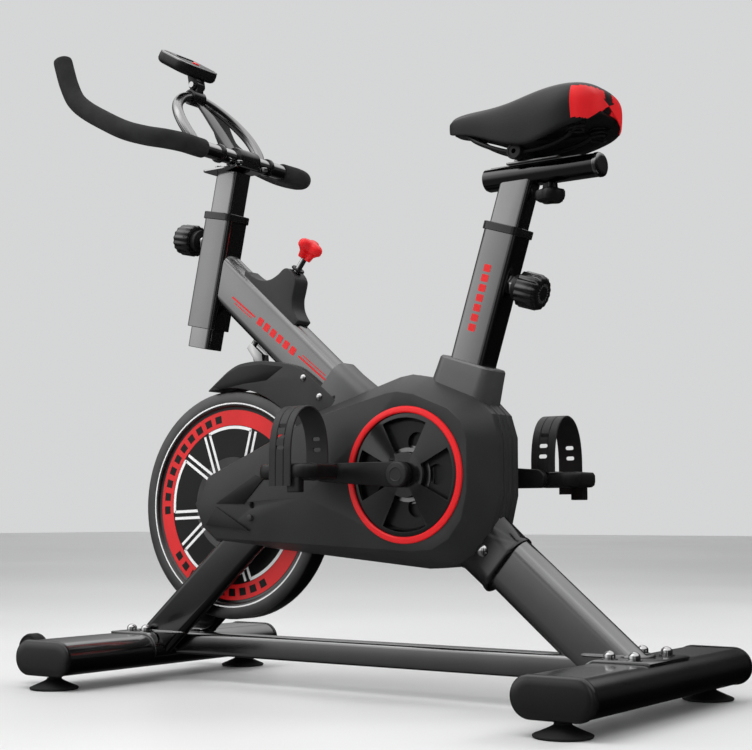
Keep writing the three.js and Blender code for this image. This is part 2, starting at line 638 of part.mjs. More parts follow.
const wheelRoom = rod(
  FLYWHEEL.radius + 6, [FLYWHEEL.x, 0, FLYWHEEL.z], Y, -HOUSING.wheelRoom, HOUSING.wheelRoom, 40,
);
const legRooms = SIDES.map(([, side]) => member(
  oval(LEG.depth + 3, LEG.width + 3), LEG.start, [LEG.end[0] - 40, LEG.end[1] - 35], side * LEG.y,
));

function housing(side) {
  const shell = cut(housingBlock(side, 0), housingBlock(side, HOUSING.wall));
  const opening = rod(COVER.radius + GAP, [CRANK.x, 0, CRANK.z], Y, -90, 90, 36);
  return cut(
    shell, opening, wheelRoom, sleeveSolid(SEAT, RUN), downTubeSolid(RUN), rearLegSolid(RUN), ...legRooms,
  );
}

function coverDisc(side) {
  const [y0, y1] = betweenY(side, HOUSING.face - COVER.thick - GAP, HOUSING.face - GAP);
  const place = (solid) => solid.translate(CRANK.x, 0, CRANK.z);
  const disc = rod(COVER.radius, [0, 0, 0], Y, y0, y1, 36);
  const bore = rod(CRANK.eye - 4, [0, 0, 0], Y, y0 - OVER, y1 + OVER, 20);
  const window = new THREE.Shape();
  const half = radians(180 / COVER.spokes - 16);
  window.absarc(0, 0, COVER.radius - 8, Math.PI / 2 - half, Math.PI / 2 + half);
  window.absarc(0, 0, COVER.hub + 6, Math.PI / 2 + half, Math.PI / 2 - half, true);
  const hole = sidePlate(window, y0 - OVER, y1 + OVER, 2);
  const holes = Array.from({ length: COVER.spokes }, (_, i) => hole.rotate(0, (360 / COVER.spokes) * i, 0));
  return place(cut(disc, bore, ...holes));
}

function trimRing(side) {
  const [y0, y1] = betweenY(side, HOUSING.face + GAP, HOUSING.face + COVER.ringLift);
  const centre = [CRANK.x, 0, CRANK.z];
  return cut(
    rod(COVER.ring, centre, Y, y0, y1, 36), rod(COVER.radius, centre, Y, y0 - OVER, y1 + OVER, 36),
  );
}

for (const [name, side] of SIDES) {
  add(`housing_${name}`, housing(side), "casing");
  add(`cover_disc_${name}`, coverDisc(side), "casing");
  add(`trim_ring_${name}`, trimRing(side), "red");
}

// ---------------------------------------------------------------- fender and brake

const FENDER_TOP = [
  [138, 478], [160, 494], [184, 510], [208, 519], [253, 521], [300, 514], [331, 504], [400, 452], [400, 380],
];

function fender() {
  const bottom = [[340, 380], [300, 400], [250, 430], [200, 440], [140, 440]];
  const outer = sidePlate(outline([...FENDER_TOP, ...bottom]), -FENDER.half, FENDER.half);
  const lowered = FENDER_TOP.map(([x, z]) => [x + 2, z - FENDER.wall]);
  const inner = sidePlate(
    outline([[130, 440], [130, 472], ...lowered, [420, 340], [130, 340]]),
    -FENDER.half + FENDER.wall, FENDER.half - FENDER.wall,
  );
  const wheel = rod(FLYWHEEL.radius + FENDER.room, [FLYWHEEL.x, 0, FLYWHEEL.z], Y, -60, 60, 60);
  const rooms = SIDES.map(([, side]) => housingBlock(side, -2));
  return cut(outer, inner, wheel, downTubeSolid(RUN), padRoom, ...rooms);
}

/** The pad hangs over the wheel's rim on a stem that turns down from the rod's lower end. */
const PAD = { bearing: 14, spread: 5, half: 15, thick: 9, lift: 8, holder: 6, stemHalf: 9, travel: 8 };
const PAD_STEM = [[203, 547], [211, 556], [221, 547], [235, 535], [240, 495], [221, 493], [216, 530]];

/** A stretch of ring over the wheel, between two heights above its rim. */
function ringOver(low, high, half, spread = PAD.spread) {
  const shape = new THREE.Shape();
  const [from, to] = [90 - PAD.bearing - spread, 90 - PAD.bearing + spread].map(radians);
  shape.absarc(FLYWHEEL.x, FLYWHEEL.z, FLYWHEEL.radius + high, from, to);
  shape.absarc(FLYWHEEL.x, FLYWHEEL.z, FLYWHEEL.radius + low, to, from, true);
  return sidePlate(shape, -half, half, 3);
}

const padRoom = join(
  ringOver(PAD.lift - PAD.travel - OVER, PAD.lift + PAD.thick + 2 * OVER, PAD.half + 2, PAD.spread + 3),
  block([209, -PAD.stemHalf - 3, 480], [244, PAD.stemHalf + 3, 540]),
);

/** The moulded boot that the brake rod passes through, seated on the down tube. */
function brakeBoot() {
  const solid = sidePlate(outline([
    [204, 676], [229, 660], [248, 657], [264, 663], [278, 669], [295, 661], [310, 649], [304, 628],
    [304, 606], [317, 583], [290, 560], [200, 640],
  ]), -17, 17);
  return cut(solid, downTubeSolid(GAP), brakeHole);
}

function brakeKnob() {
  const centre = new THREE.Vector3(...brakePoint).addScaledVector(brakeAxis, BRAKE.knobRise);
  const shape = new THREE.Shape();
  const lobes = 3;
  for (let i = 0; i < lobes; i += 1) {
    const angle = (2 * Math.PI * i) / lobes;
    const [lx, ly] = [Math.cos(angle) * BRAKE.knob * 0.62, Math.sin(angle) * BRAKE.knob * 0.62];
    shape.absarc(lx, ly, BRAKE.knob * 0.38, angle - 1.05, angle + 1.05);
  }
  const side = Y.clone().cross(brakeAxis);
  const head = extrude(shape, 16, frameAt(centre.toArray(), side, Y, brakeAxis), 3);
  const start = BRAKE.knobRise;
  const neck = rod(7, brakePoint, brakeAxis, start - BRAKE.neck, start + 1, 16, 13);
  const bore = rod(BRAKE.rod - 1 + GAP, brakePoint, brakeAxis, start - BRAKE.neck - OVER, start + 10, 16);
  return cut(join(head, neck), bore);
}

/** The rod, its threaded top, the stem at its foot and the holder that backs the pad. */
function brakeRodSolid() {
  const top = BRAKE.knobRise - BRAKE.neck - GAP;
  const shank = rod(BRAKE.rod, brakePoint, brakeAxis, BRAKE.low, top, 12);
  const thread = rod(BRAKE.rod - 1, brakePoint, brakeAxis, top - 1, BRAKE.knobRise + 10 - GAP, 12);
  const stem = sidePlate(outline(PAD_STEM), -PAD.stemHalf, PAD.stemHalf);
  const holderLow = PAD.lift + PAD.thick + GAP;
  const holder = ringOver(holderLow, holderLow + PAD.holder, PAD.half - 2);
  const padClear = ringOver(0, holderLow, PAD.half + OVER, PAD.spread + OVER);
  return cut(join(shank, thread, cut(stem, padClear), holder));
}

add("fender", fender(), "casing");
add("brake_boot", brakeBoot(), "black");
add("brake_rod", brakeRodSolid(), "chrome");
add("brake_knob", brakeKnob(), "red");
add("brake_pad", ringOver(PAD.lift, PAD.lift + PAD.thick, PAD.half), "leather");

// ---------------------------------------------------------------- posts and collars

function collar(tube, post) {
  const seam = tube.top + GAP;
  const lip = sleeveSolid(tube, COLLAR.lip, tube.top - COLLAR.skirt, seam + COLLAR.rise);
  const sleeve = sleeveSolid(tube, GAP, tube.top - COLLAR.skirt - OVER, seam);
  const plug = sleeveSolid(tube, -tube.wall - GAP, tube.top - COLLAR.plug, seam + 1);
  const [depth, width] = [post.depth + 2 * COLLAR.clear, post.width + 2 * COLLAR.clear];
  const section = roundedRect(depth, width, POST_CORNER + COLLAR.clear);
  const hole = member(section, alongTube(tube, tube.top - 60), alongTube(tube, tube.top + 60), 0, 2);
  return cut(join(cut(lip, sleeve), plug), hole);
}

function postTube(tube, post) {
  const section = roundedRect(post.depth, post.width, POST_CORNER);
  const corner = POST_CORNER - post.wall;
  const inner = roundedRect(post.depth - 2 * post.wall, post.width - 2 * post.wall, corner);
  return hollowMember(section, inner, alongTube(tube, post.base), alongTube(tube, post.top), 0, 2);
}

/** The row of holes down a post that the lock knob's pin drops into. */
function pinHoles(tube, knob, count, step) {
  return Array.from({ length: count }, (_, i) => boltHole(tube, knob, 0.6, i * step));
}

function lockKnob(tube, knob) {
  const axis = tubeNormal(tube).multiplyScalar(knob.side);
  const start = tube.depth / 2 + GAP;
  const { radius, length, neck, flange, bolt, tip } = KNOB;
  const body = start + knob.reach;
  const profile = [
    [0, start - tip], [bolt, start - tip], [bolt, start], [neck, start], [neck, body - 10],
    [flange, body - 9], [flange, body], [radius, body + 2], [radius, body + length - 5],
    [radius - 5, body + length], [0, body + length],
  ];
  return turned(profile, onTube(tube, knob.at), axis, 16);
}

const plateZ = BAR.z - BAR.radius - 1.5;
const overPlate = block([60, -60, plateZ - POST_PLATE.thick], [260, 60, 1000]);
const headPost = cut(postTube(HEAD, HEAD_POST), overPlate, ...pinHoles(HEAD, HEAD_KNOB, 5, 20));
const postPlate = extrude(
  roundedRect(POST_PLATE.length, POST_PLATE.width, 8), POST_PLATE.thick,
  frameAt([BAR.x - 22, 0, plateZ - POST_PLATE.thick], X, Y, Z), 4,
);

/** The block under the handlebar and the cap over it. */
function barClamp() {
  const outer = rod(BAR.radius + 5, [BAR.x, 0, BAR.z], Y, -24, 24, 28);
  const foot = block([BAR.x - 16, -24, plateZ - 1], [BAR.x + 16, 24, BAR.z]);
  const bore = rod(BAR.radius + GAP, [BAR.x, 0, BAR.z], Y, -40, 40, 28);
  return cut(join(outer, foot), bore, block([BAR.x - 40, -40, BAR.z + 4], [BAR.x + 40, 40, BAR.z + 40]));
}

add("head_collar", collar(HEAD, HEAD_POST), "black");
add("seat_collar", collar(SEAT, SEAT_POST), "black");
add("handlebar_post", join(headPost, postPlate, barClamp()), "tube");
add("head_knob", lockKnob(HEAD, HEAD_KNOB), "black");
add("seat_knob", lockKnob(SEAT, SEAT_KNOB), "black");

// ---------------------------------------------------------------- handlebar, arch and console

const BAR_HALF = [
  [184, 24, 867], [184, 70, 867], [184, 118, 867], [183, 150, 867.5], [172, 177, 869], [144, 191, 875],
  [100, 196, 890], [48, 196, 916], [10, 196, 938], [-14, 196, 958], [-30, 196, 985], [-40, 196, 1010],
  [-48, 196, 1033],
];

const barPoints = [
  ...BAR_HALF.map(([x, y, z]) => new THREE.Vector3(x, -y, z)).reverse(),
  ...BAR_HALF.map(([x, y, z]) => new THREE.Vector3(x, y, z)),
];
const barCurve = new THREE.CatmullRomCurve3(barPoints, false, "centripetal");
barCurve.arcLengthDivisions = 800;
const barLength = barCurve.getLength();
const gripSpan = 0.5 - BAR.gripStart / barLength;

const GRIP_SPANS = { left: [0, gripSpan], right: [1 - gripSpan, 1] };
const barEnd = 5 / barLength;
add("handlebar", sweep(new Stretch(barCurve, barEnd, 1 - barEnd), BAR.radius, 38, 4), "chrome");
for (const [name] of SIDES) {
  const [from, to] = GRIP_SPANS[name];
  const outer = sweep(new Stretch(barCurve, from, to), BAR.grip, 14, 4);
  const left = name === "left";
  const boreFrom = left ? barEnd / 2 : from - barEnd;
  const boreTo = left ? to + barEnd : 1 - barEnd / 2;
  const bore = sweep(new Stretch(barCurve, boreFrom, boreTo), BAR.radius + 1.9, 15, 4);
  add(`grip_${name}`, cut(outer, bore), "foam");
}

const ARCH_HALF = [
  [158, 80, 876], [143, 88, 900], [122, 88, 930], [103, 76, 955], [88, 54, 975], [78, 28, 988],
];
const archPoints = [
  ...ARCH_HALF.map(([x, y, z]) => new THREE.Vector3(x, -y, z)),
  new THREE.Vector3(ARCH.top[0], 0, ARCH.top[1]),
  ...ARCH_HALF.map(([x, y, z]) => new THREE.Vector3(x, y, z)).reverse(),
];
const archCurve = new THREE.CatmullRomCurve3(archPoints, false, "centripetal");

function consoleArch() {
  const bar = rod(BAR.radius + GAP, [BAR.x, 0, BAR.z], Y, -120, 120, 24);
  const tongueHalf = CONSOLE_PIVOT.tongue;
  const { x, z, radius } = CONSOLE_PIVOT;
  const collarRing = rod(ARCH.radius + 4, [ARCH.top[0], 0, ARCH.top[1]], Y, -14, 14, 24);
  const tongue = block([x - 9, -tongueHalf, ARCH.top[1]], [x + 9, tongueHalf, z]);
  const eye = rod(9, [x, 0, z], Y, -tongueHalf, tongueHalf, 20);
  const pin = rod(radius, [x, 0, z], Y, -tongueHalf - 5, tongueHalf + 5, 16);
  const gripRoom = BAR.grip + 1.2;
  const gripBars = SIDES.map(([name]) => sweep(new Stretch(barCurve, ...GRIP_SPANS[name]), gripRoom, 14, 4));
  return cut(join(sweep(archCurve, ARCH.radius, 18, 4), collarRing, tongue, eye, pin), bar, ...gripBars);
}

const consoleTurn = radians(CONSOLE.tilt);
const consoleAlong = new THREE.Vector3(Math.cos(consoleTurn), 0, -Math.sin(consoleTurn));
const consoleUp = new THREE.Vector3(Math.sin(consoleTurn), 0, Math.cos(consoleTurn));

function consolePlace(along, up) {
  return new THREE.Vector3(CONSOLE.x, 0, CONSOLE.z)
    .addScaledVector(consoleAlong, along)
    .addScaledVector(consoleUp, up)
    .toArray();
}

function consoleBody() {
  const half = CONSOLE.thick / 2;
  const slab = (grow, from, to) => extrude(
    roundedRect(CONSOLE.length + 2 * grow, CONSOLE.width + 2 * grow, CONSOLE.corner + grow), to - from,
    frameAt(consolePlace(0, from), consoleAlong, Y, consoleUp), 3,
  );
  const body = join(slab(-3, -half, half), slab(0, -half + 3, half - 3));
  const { x, z, tongue, ear, radius } = CONSOLE_PIVOT;
  const ears = [-1, 1].map((side) => {
    const middle = side * (tongue + GAP + ear / 2);
    const eye = rod(8, [x, middle, z], Y, -ear / 2, ear / 2, 20);
    const web = block([x - 8, middle - ear / 2, z], [x + 8, middle + ear / 2, z + 22]);
    return join(eye, web);
  });
  const pinRoom = rod(radius + 0.5, [x, 0, z], Y, -20, 20, 16);
  const tongueRoom = rod(10, [x, 0, z], Y, -tongue - GAP, tongue + GAP, 20);
  const well = rod(
    BUTTON.radius + 0.4, [...consolePlace(-BUTTON.along, half)], consoleUp, -BUTTON.depth, OVER, 20,
  ).translate(0, BUTTON.across, 0);
  return cut(join(body, ...ears), pinRoom, tongueRoom, well);
}

function consoleButton() {
  const half = CONSOLE.thick / 2;
  const base = [...consolePlace(-BUTTON.along, half)];
  return rod(BUTTON.radius, base, consoleUp, -BUTTON.depth + 2, BUTTON.rise, 20, BUTTON.radius - 0.5)
    .translate(0, BUTTON.across, 0);
}

add("console_arch", consoleArch(), "chrome");
add("console", consoleBody(), "black");
add("console_button", consoleButton(), "red");

// ---------------------------------------------------------------- saddle and its post

function seatSlot(rise) {
  const shape = oval(CARRIAGE.travel + 2 * CARRIAGE.bolt + 6, 2 * CARRIAGE.bolt + 2);
  const x = CARRIAGE.x + CARRIAGE.travel / 2 - 2;
  return extrude(shape, 60, frameAt([x, 0, SEAT_TUBE.z + rise], X, Y, Z), 3);
}

function seatPost() {
  const { front, rear, z, width, height, wall } = SEAT_TUBE;
  const run = [[front, z], [rear, z]];
  const tube = member(oval(height, width), ...run);
  const bore = member(oval(height - 2 * wall, width - 2 * wall), [front - OVER, z], [rear - 4, z]);
  const seated = member(oval(height - wall, width - wall), ...run);
  const post = cut(postTube(SEAT, SEAT_POST), seated, ...pinHoles(SEAT, SEAT_KNOB, 5, 22));
  const trimmed = cut(post, block([500, -60, z], [900, 60, 1000]));
  return cut(join(cut(tube, bore), trimmed), seatSlot(-30));
}

function saddleSlider() {
  const { front, rear, thick, x, bolt } = CARRIAGE;
  const top = SEAT_TUBE.z + SEAT_TUBE.height / 2 + GAP;
  const plate = block([front, -15, top], [rear, 15, top + thick]);
  const post = block([CLAMP.x - 9, -12, top + 1], [CLAMP.x + 9, 12, CLAMP.z]);
  const eye = rod(CLAMP.radius, [CLAMP.x, 0, CLAMP.z], Y, -12, 12, 24);
  const stud = rod(bolt, [x, 0, SEAT_TUBE.z], Z, -SEAT_TUBE.height / 2 - 20, SEAT_TUBE.height / 2 + 2, 12);
  const pin = rod(4, [CLAMP.x, 0, CLAMP.z], Y, -CLAMP.width / 2 - 8, CLAMP.width / 2 + 8, 16);
  return join(plate, post, eye, stud, pin);
}

function saddleKnob() {
  const top = SEAT_TUBE.z - SEAT_TUBE.height / 2 - GAP;
  const profile = [
    [CARRIAGE.bolt + 0.5, top], [10, top], [11, top - 7], [21, top - 10], [23, top - 14], [22, top - 25],
    [18, top - 28], [0, top - 28], [0, top - 22], [CARRIAGE.bolt + 0.5, top - 22], [CARRIAGE.bolt + 0.5, top],
  ].reverse();
  return turned(profile, [CARRIAGE.x, 0, 0], Z, 16);
}

/** The saddle from nose to tail: half widths, heights, and how low its side skirts hang, if it has them. */
const SADDLE_STATIONS = [
  { x: 602, half: 9, top: 866, low: 856 }, { x: 612, half: 19, top: 873, low: 850 },
  { x: 645, half: 26, top: 874, low: 844, skirt: 838 }, { x: 690, half: 34, top: 874, low: 836, skirt: 818 },
  { x: 740, half: 52, top: 877, low: 831, skirt: 805 }, { x: 785, half: 70, top: 881, low: 830, skirt: 805 },
  { x: 818, half: 73, top: 882, low: 831, skirt: 812 }, { x: 846, half: 60, top: 877, low: 836, skirt: 822 },
  { x: 862, half: 36, top: 862, low: 848 },
];

/** How far a skirt's inner side stands from the middle: thin at the nose, thicker round the tail. */
function skirtInside(half) {
  return half - 4 - Math.max(0, half - 26) * 0.26;
}

function saddlePad() {
  const slices = SADDLE_STATIONS.map(({ x, half, top, low }) => [
    [x, -half, low + 4], [x, -half * 0.9, low], [x, half * 0.9, low], [x, half, low + 4],
    [x, half * 0.86, top - 8], [x, half * 0.4, top], [x, -half * 0.4, top], [x, -half * 0.86, top - 8],
  ]);
  const lofts = slices.slice(1).map((slice, i) => hull([...slices[i], ...slice]));
  const skirted = SADDLE_STATIONS.filter(({ skirt }) => skirt);
  const skirts = SIDES.flatMap(([, side]) => {
    const strips = skirted.map(({ x, half, low, skirt }) => [
      [x, side * skirtInside(half), skirt], [x, side * (half - 1.5), skirt],
      [x, side * skirtInside(half), low + 8], [x, side * half, low + 8],
    ]);
    return strips.slice(1).map((strip, i) => hull([...strips[i], ...strip]));
  });
  return join(...lofts, ...skirts);
}

/** The saddle's moulded base, its two rails and the ears that grip the clamp. */
function saddleBase() {
  const base = SADDLE_STATIONS.slice(1, -1).map(({ x, half, low, skirt }) => {
    const side = skirt ? skirtInside(half) - RUN : half * 0.8;
    return [[x, -side, low - GAP], [x, side, low - GAP], [x, side - 3, low - 4], [x, 3 - side, low - 4]];
  });
  const shells = base.slice(1).map((slice, i) => hull([...base[i], ...slice]));
  const rails = [-1, 1].map((side) => {
    const y = side * 20;
    const curve = new THREE.CatmullRomCurve3([
      [630, side * 10, 843], [655, y, 824], [690, y, 808], [722, y, CLAMP.z], [770, y, 802],
      [810, y * 1.3, 812], [832, y * 1.7, 830],
    ].map((point) => new THREE.Vector3(...point)), false, "centripetal");
    return sweep(curve, 3.5, 9, 3);
  });
  const ears = [-1, 1].map((side) => {
    const [y0, y1] = side > 0 ? [12 + GAP, 25] : [-25, -12 - GAP];
    return rod(CLAMP.radius, [CLAMP.x, 0, CLAMP.z], Y, y0, y1, 24);
  });
  const pinRoom = rod(4.5, [CLAMP.x, 0, CLAMP.z], Y, -40, 40, 16);
  return cut(join(...shells, ...rails, ...ears), pinRoom);
}

add("seat_post", seatPost(), "chrome");
add("saddle_slider", saddleSlider(), "steel");
add("saddle_knob", saddleKnob(), "black");
add("saddle", saddlePad(), "leather");
add("saddle_base", saddleBase(), "black");

export default bike;
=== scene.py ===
import math

import bmesh
import bpy
from mathutils import Matrix, Vector
from mathutils.geometry import interpolate_bezier


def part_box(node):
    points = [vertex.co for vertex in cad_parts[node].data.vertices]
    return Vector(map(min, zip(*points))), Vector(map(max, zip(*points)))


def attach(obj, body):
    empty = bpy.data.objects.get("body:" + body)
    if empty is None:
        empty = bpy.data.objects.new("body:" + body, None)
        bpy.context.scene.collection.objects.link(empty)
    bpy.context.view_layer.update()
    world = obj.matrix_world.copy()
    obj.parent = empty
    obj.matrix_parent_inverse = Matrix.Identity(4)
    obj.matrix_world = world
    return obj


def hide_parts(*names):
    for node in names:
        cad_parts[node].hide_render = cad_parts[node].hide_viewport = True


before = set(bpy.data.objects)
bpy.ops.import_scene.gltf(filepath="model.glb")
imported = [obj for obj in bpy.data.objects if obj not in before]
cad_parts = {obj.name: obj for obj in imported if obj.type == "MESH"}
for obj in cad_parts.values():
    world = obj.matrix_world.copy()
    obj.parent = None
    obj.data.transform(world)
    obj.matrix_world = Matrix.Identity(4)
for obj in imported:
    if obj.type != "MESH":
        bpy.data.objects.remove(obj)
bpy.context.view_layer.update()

# Exercise bike with a belt-driven flywheel. Shapes are drawn in millimetres in the bike's own
# side view: X is counted from the centre of the front stabiliser, the rider faces -X, and +Y is
# the rider's right. place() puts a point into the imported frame, in metres.

MM = 0.001
SIDES = (("left", -1), ("right", 1))
X, Y, Z = Vector((1, 0, 0)), Vector((0, 1, 0)), Vector((0, 0, 1))


def middle(node):
    low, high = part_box(node)
    return (low + high) / 2


ORIGIN_X = middle("front_foot_left").x


def place(point):
    return Vector((ORIGIN_X + point[0] * MM, point[1] * MM, point[2] * MM))


def centre(node):
    """The middle of a CAD node, in the bike's millimetres."""
    at = middle(node)
    return Vector(((at.x - ORIGIN_X) / MM, at.y / MM, at.z / MM))


# ---------------------------------------------------------------- main sizes, in millimetres

REAR_X = centre("rear_foot_left").x
STABILISER = {"depth": 117, "height": 52.5, "z": 49.5, "half": 250}
HEAD = {"x": 128.5, "z": 677, "lean": 11.8, "top": 100, "base": -92, "depth": 60, "width": 50}
SEAT = {"x": 663, "z": 590, "lean": 17.5, "top": 107, "base": -232, "depth": 62, "width": 46}
AXLE = centre("flywheel")
CRANK = centre("bottom_bracket")
WHEEL_RADIUS = 186.4
COVER_RADIUS = 91
FACE = 72
BAR_RADIUS = 12.5
BRAKE_TOP = Vector((304, 0, 672))
BRAKE_AXIS = Vector((math.sin(math.radians(38)), 0, math.cos(math.radians(38))))
CLAMP = Vector((722, 0, 799.5))


# ---------------------------------------------------------------- camera, light and floor

def camera():
    data = bpy.data.cameras.new("camera")
    data.lens = 69.98
    data.sensor_width = 36
    thing = bpy.data.objects.new("camera", data)
    thing.location = (1.32915, -1.85462, 0.2667)
    thing.rotation_euler = (math.radians(95.6133), 0, math.radians(34.9124))
    bpy.context.scene.collection.objects.link(thing)
    bpy.context.scene.camera = thing


def softbox(name, at, aim, size, power):
    data = bpy.data.lights.new(name, "AREA")
    data.shape = "RECTANGLE"
    data.size, data.size_y = size
    data.energy = power
    thing = bpy.data.objects.new(name, data)
    thing.location = at
    thing.rotation_euler = (Vector(aim) - Vector(at)).to_track_quat("-Z", "Y").to_euler()
    thing.visible_glossy = False
    bpy.context.scene.collection.objects.link(thing)


def mixed(nodes, links, how, share, first, second):
    """Two colours put together by one node; share is a number or a socket."""
    node = nodes.new("ShaderNodeMixRGB")
    node.blend_type = how
    if isinstance(share, float):
        node.inputs["Fac"].default_value = share
    else:
        links.new(share, node.inputs["Fac"])
    links.new(first, node.inputs["Color1"])
    links.new(second, node.inputs["Color2"])
    return node.outputs["Color"]


def studio():
    """A pale room: even light all round, with brighter and darker bands for gloss to reflect."""
    world = bpy.data.worlds.new("studio")
    bpy.context.scene.world = world
    world.use_nodes = True
    nodes, links = world.node_tree.nodes, world.node_tree.links
    nodes.clear()
    direction = nodes.new("ShaderNodeTexCoord")
    round_about = nodes.new("ShaderNodeTexGradient")
    round_about.gradient_type = "RADIAL"
    links.new(direction.outputs["Generated"], round_about.inputs["Vector"])
    bands = nodes.new("ShaderNodeValToRGB")
    links.new(round_about.outputs["Fac"], bands.inputs["Fac"])
    stops = [
        (0.00, 0.30), (0.06, 1.05), (0.13, 1.45), (0.185, 0.95), (0.215, 0.30), (0.24, 0.9), (0.265, 0.14),
        (0.32, 0.10), (0.345, 0.75), (0.37, 0.06), (0.50, 0.03), (0.62, 0.05), (0.72, 0.02), (0.80, 0.05),
        (0.86, 0.5), (0.90, 0.10), (0.97, 0.15),
    ]
    fill_ramp(bands.color_ramp, [(at, (value, value, value, 1)) for at, value in stops])
    upward = nodes.new("ShaderNodeSeparateXYZ")
    links.new(direction.outputs["Generated"], upward.inputs[0])
    height = nodes.new("ShaderNodeMapRange")
    height.inputs["From Min"].default_value = -1
    links.new(upward.outputs["Z"], height.inputs["Value"])
    ceiling, haze = nodes.new("ShaderNodeValToRGB"), nodes.new("ShaderNodeValToRGB")
    for ramp, levels in (
        (ceiling, [(0.0, 0.0), (0.70, 0.0), (0.80, 0.9), (0.9, 1.3), (1.0, 1.3)]),
        (haze, [(0.0, 0.10), (0.40, 0.14), (0.47, 0.26), (0.52, 0.62), (0.58, 1.0), (1.0, 1.0)]),
    ):
        links.new(height.outputs["Result"], ramp.inputs["Fac"])
        fill_ramp(ramp.color_ramp, [(at, (value, value, value, 1)) for at, value in levels])
    gloss = ceiling.outputs["Color"]
    faded = mixed(nodes, links, "MULTIPLY", 1.0, bands.outputs["Color"], haze.outputs["Color"])
    gloss = mixed(nodes, links, "ADD", 1.0, faded, gloss)
    ray = nodes.new("ShaderNodeLightPath")
    dim = nodes.new("ShaderNodeRGB")
    dim.outputs[0].default_value = (0.74, 0.745, 0.75, 1)
    pale = nodes.new("ShaderNodeRGB")
    pale.outputs[0].default_value = (0.74, 0.745, 0.75, 1)
    seen = mixed(nodes, links, "MIX", ray.outputs["Is Glossy Ray"], dim.outputs[0], gloss)
    shade = mixed(nodes, links, "MIX", ray.outputs["Is Camera Ray"], seen, pale.outputs[0])
    sky = nodes.new("ShaderNodeBackground")
    sky.inputs["Strength"].default_value = 0.9
    links.new(shade, sky.inputs["Color"])
    out = nodes.new("ShaderNodeOutputWorld")
    links.new(sky.outputs["Background"], out.inputs["Surface"])
    softbox("key", (-0.4, -1.2, 3.0), (0, 0, 0.4), (2.4, 2.0), 60)
    softbox("side", (-2.6, -2.2, 1.8), (-0.1, 0, 0.5), (1.6, 2.4), 26)
    softbox("back", (1.6, 2.4, 2.4), (0, 0, 0.5), (1.6, 1.6), 40)
    bpy.context.scene.view_settings.view_transform = "Standard"


# ---------------------------------------------------------------- materials

def fill_ramp(ramp, stops):
    while len(ramp.elements) > 1:
        ramp.elements.remove(ramp.elements[-1])
    ramp.elements[0].position, ramp.elements[0].color = stops[0]
    for at, colour in stops[1:]:
        ramp.elements.new(at).color = colour


def finish(name, dark, light, rough, metallic=0.0, scale=18, grain=900, bump=0.02, coat=0.0, specular=0.5,
           pattern="noise", depth=0.0004):
    """A surface with slow colour and gloss changes, and a fine relief."""
    material = bpy.data.materials.new(name)
    material.use_nodes = True
    nodes, links = material.node_tree.nodes, material.node_tree.links
    shader = nodes["Principled BSDF"]
    shader.inputs["Metallic"].default_value = metallic
    shader.inputs["Coat Weight"].default_value = coat
    shader.inputs["Coat Roughness"].default_value = 0.08
    shader.inputs["Specular IOR Level"].default_value = specular
    place_on = nodes.new("ShaderNodeTexCoord")
    clouds = nodes.new("ShaderNodeTexNoise")
    clouds.inputs["Scale"].default_value = scale
    clouds.inputs["Detail"].default_value = 5
    links.new(place_on.outputs["Object"], clouds.inputs["Vector"])
    tint = nodes.new("ShaderNodeValToRGB")
    fill_ramp(tint.color_ramp, [(0.3, (*dark, 1)), (0.7, (*light, 1))])
    links.new(clouds.outputs["Fac"], tint.inputs["Fac"])
    links.new(tint.outputs["Color"], shader.inputs["Base Color"])
    gloss = nodes.new("ShaderNodeMapRange")
    gloss.inputs["To Min"].default_value = rough[0]
    gloss.inputs["To Max"].default_value = rough[1]
    links.new(clouds.outputs["Fac"], gloss.inputs["Value"])
    links.new(gloss.outputs["Result"], shader.inputs["Roughness"])
    if pattern == "noise":
        fine = nodes.new("ShaderNodeTexNoise")
        fine.inputs["Detail"].default_value = 2
        height = fine.outputs["Fac"]
    else:
        fine = nodes.new("ShaderNodeTexVoronoi")
        fine.feature = "SMOOTH_F1"
        height = fine.outputs["Distance"]
    fine.inputs["Scale"].default_value = grain
    links.new(place_on.outputs["Object"], fine.inputs["Vector"])
    relief = nodes.new("ShaderNodeBump")
    relief.inputs["Strength"].default_value = bump
    relief.inputs["Distance"].default_value = depth
    links.new(height, relief.inputs["Height"])
    links.new(relief.outputs["Normal"], shader.inputs["Normal"])
    return material


def grey(value, warm=0.0):
    return (value + warm, value, value - warm)


PAINT = finish("gloss_paint", grey(0.19), grey(0.24), (0.15, 0.23), 1.0, 6, 2600, 0.05, coat=0.4)
# A darker copy of the frame paint. On the front legs it is painted shade: it stands in for the shade on their
# faces, since they wear the same gloss black as the rest of the frame. On the seat slide tube it is that
# tube's own dark paint.
DARK_PAINT_AND_SHADE = finish("gloss_dark_paint_and_shade", grey(0.045), grey(0.065), (0.14, 0.22), 1.0, 6, 2600, 0.05, coat=0.5)
POST = finish("post_paint", grey(0.26), grey(0.33), (0.15, 0.23), 1.0, 6, 2600, 0.05, coat=0.4)
CHROME = finish("chrome", grey(0.48), grey(0.56), (0.05, 0.12), 1.0, 12, 1800, 0.02)
STEEL = finish("steel", grey(0.30), grey(0.38), (0.24, 0.38), 1.0, 30, 1400, 0.06)
IRON = finish("cast_iron", grey(0.10), grey(0.14), (0.30, 0.42), 1.0, 20, 900, 0.08)
CASING = finish("moulded_grey", grey(0.020), grey(0.028), (0.36, 0.48), 0.0, 9, 1500, 0.25, specular=0.4)
PANEL = finish("moulded_light_grey", grey(0.10), grey(0.13), (0.28, 0.40), 0.6, 9, 1500, 0.12)
BLACK = finish("black_plastic", grey(0.005), grey(0.009), (0.30, 0.44), 0.0, 14, 1300, 0.15, specular=0.35)
GLOSS_BLACK = finish("gloss_black", grey(0.004), grey(0.007), (0.12, 0.22), 0.0, 14, 1300, 0.04, coat=0.3)
RUBBER = finish("rubber", grey(0.008), grey(0.014), (0.62, 0.80), 0.0, 22, 800, 0.4, specular=0.3)
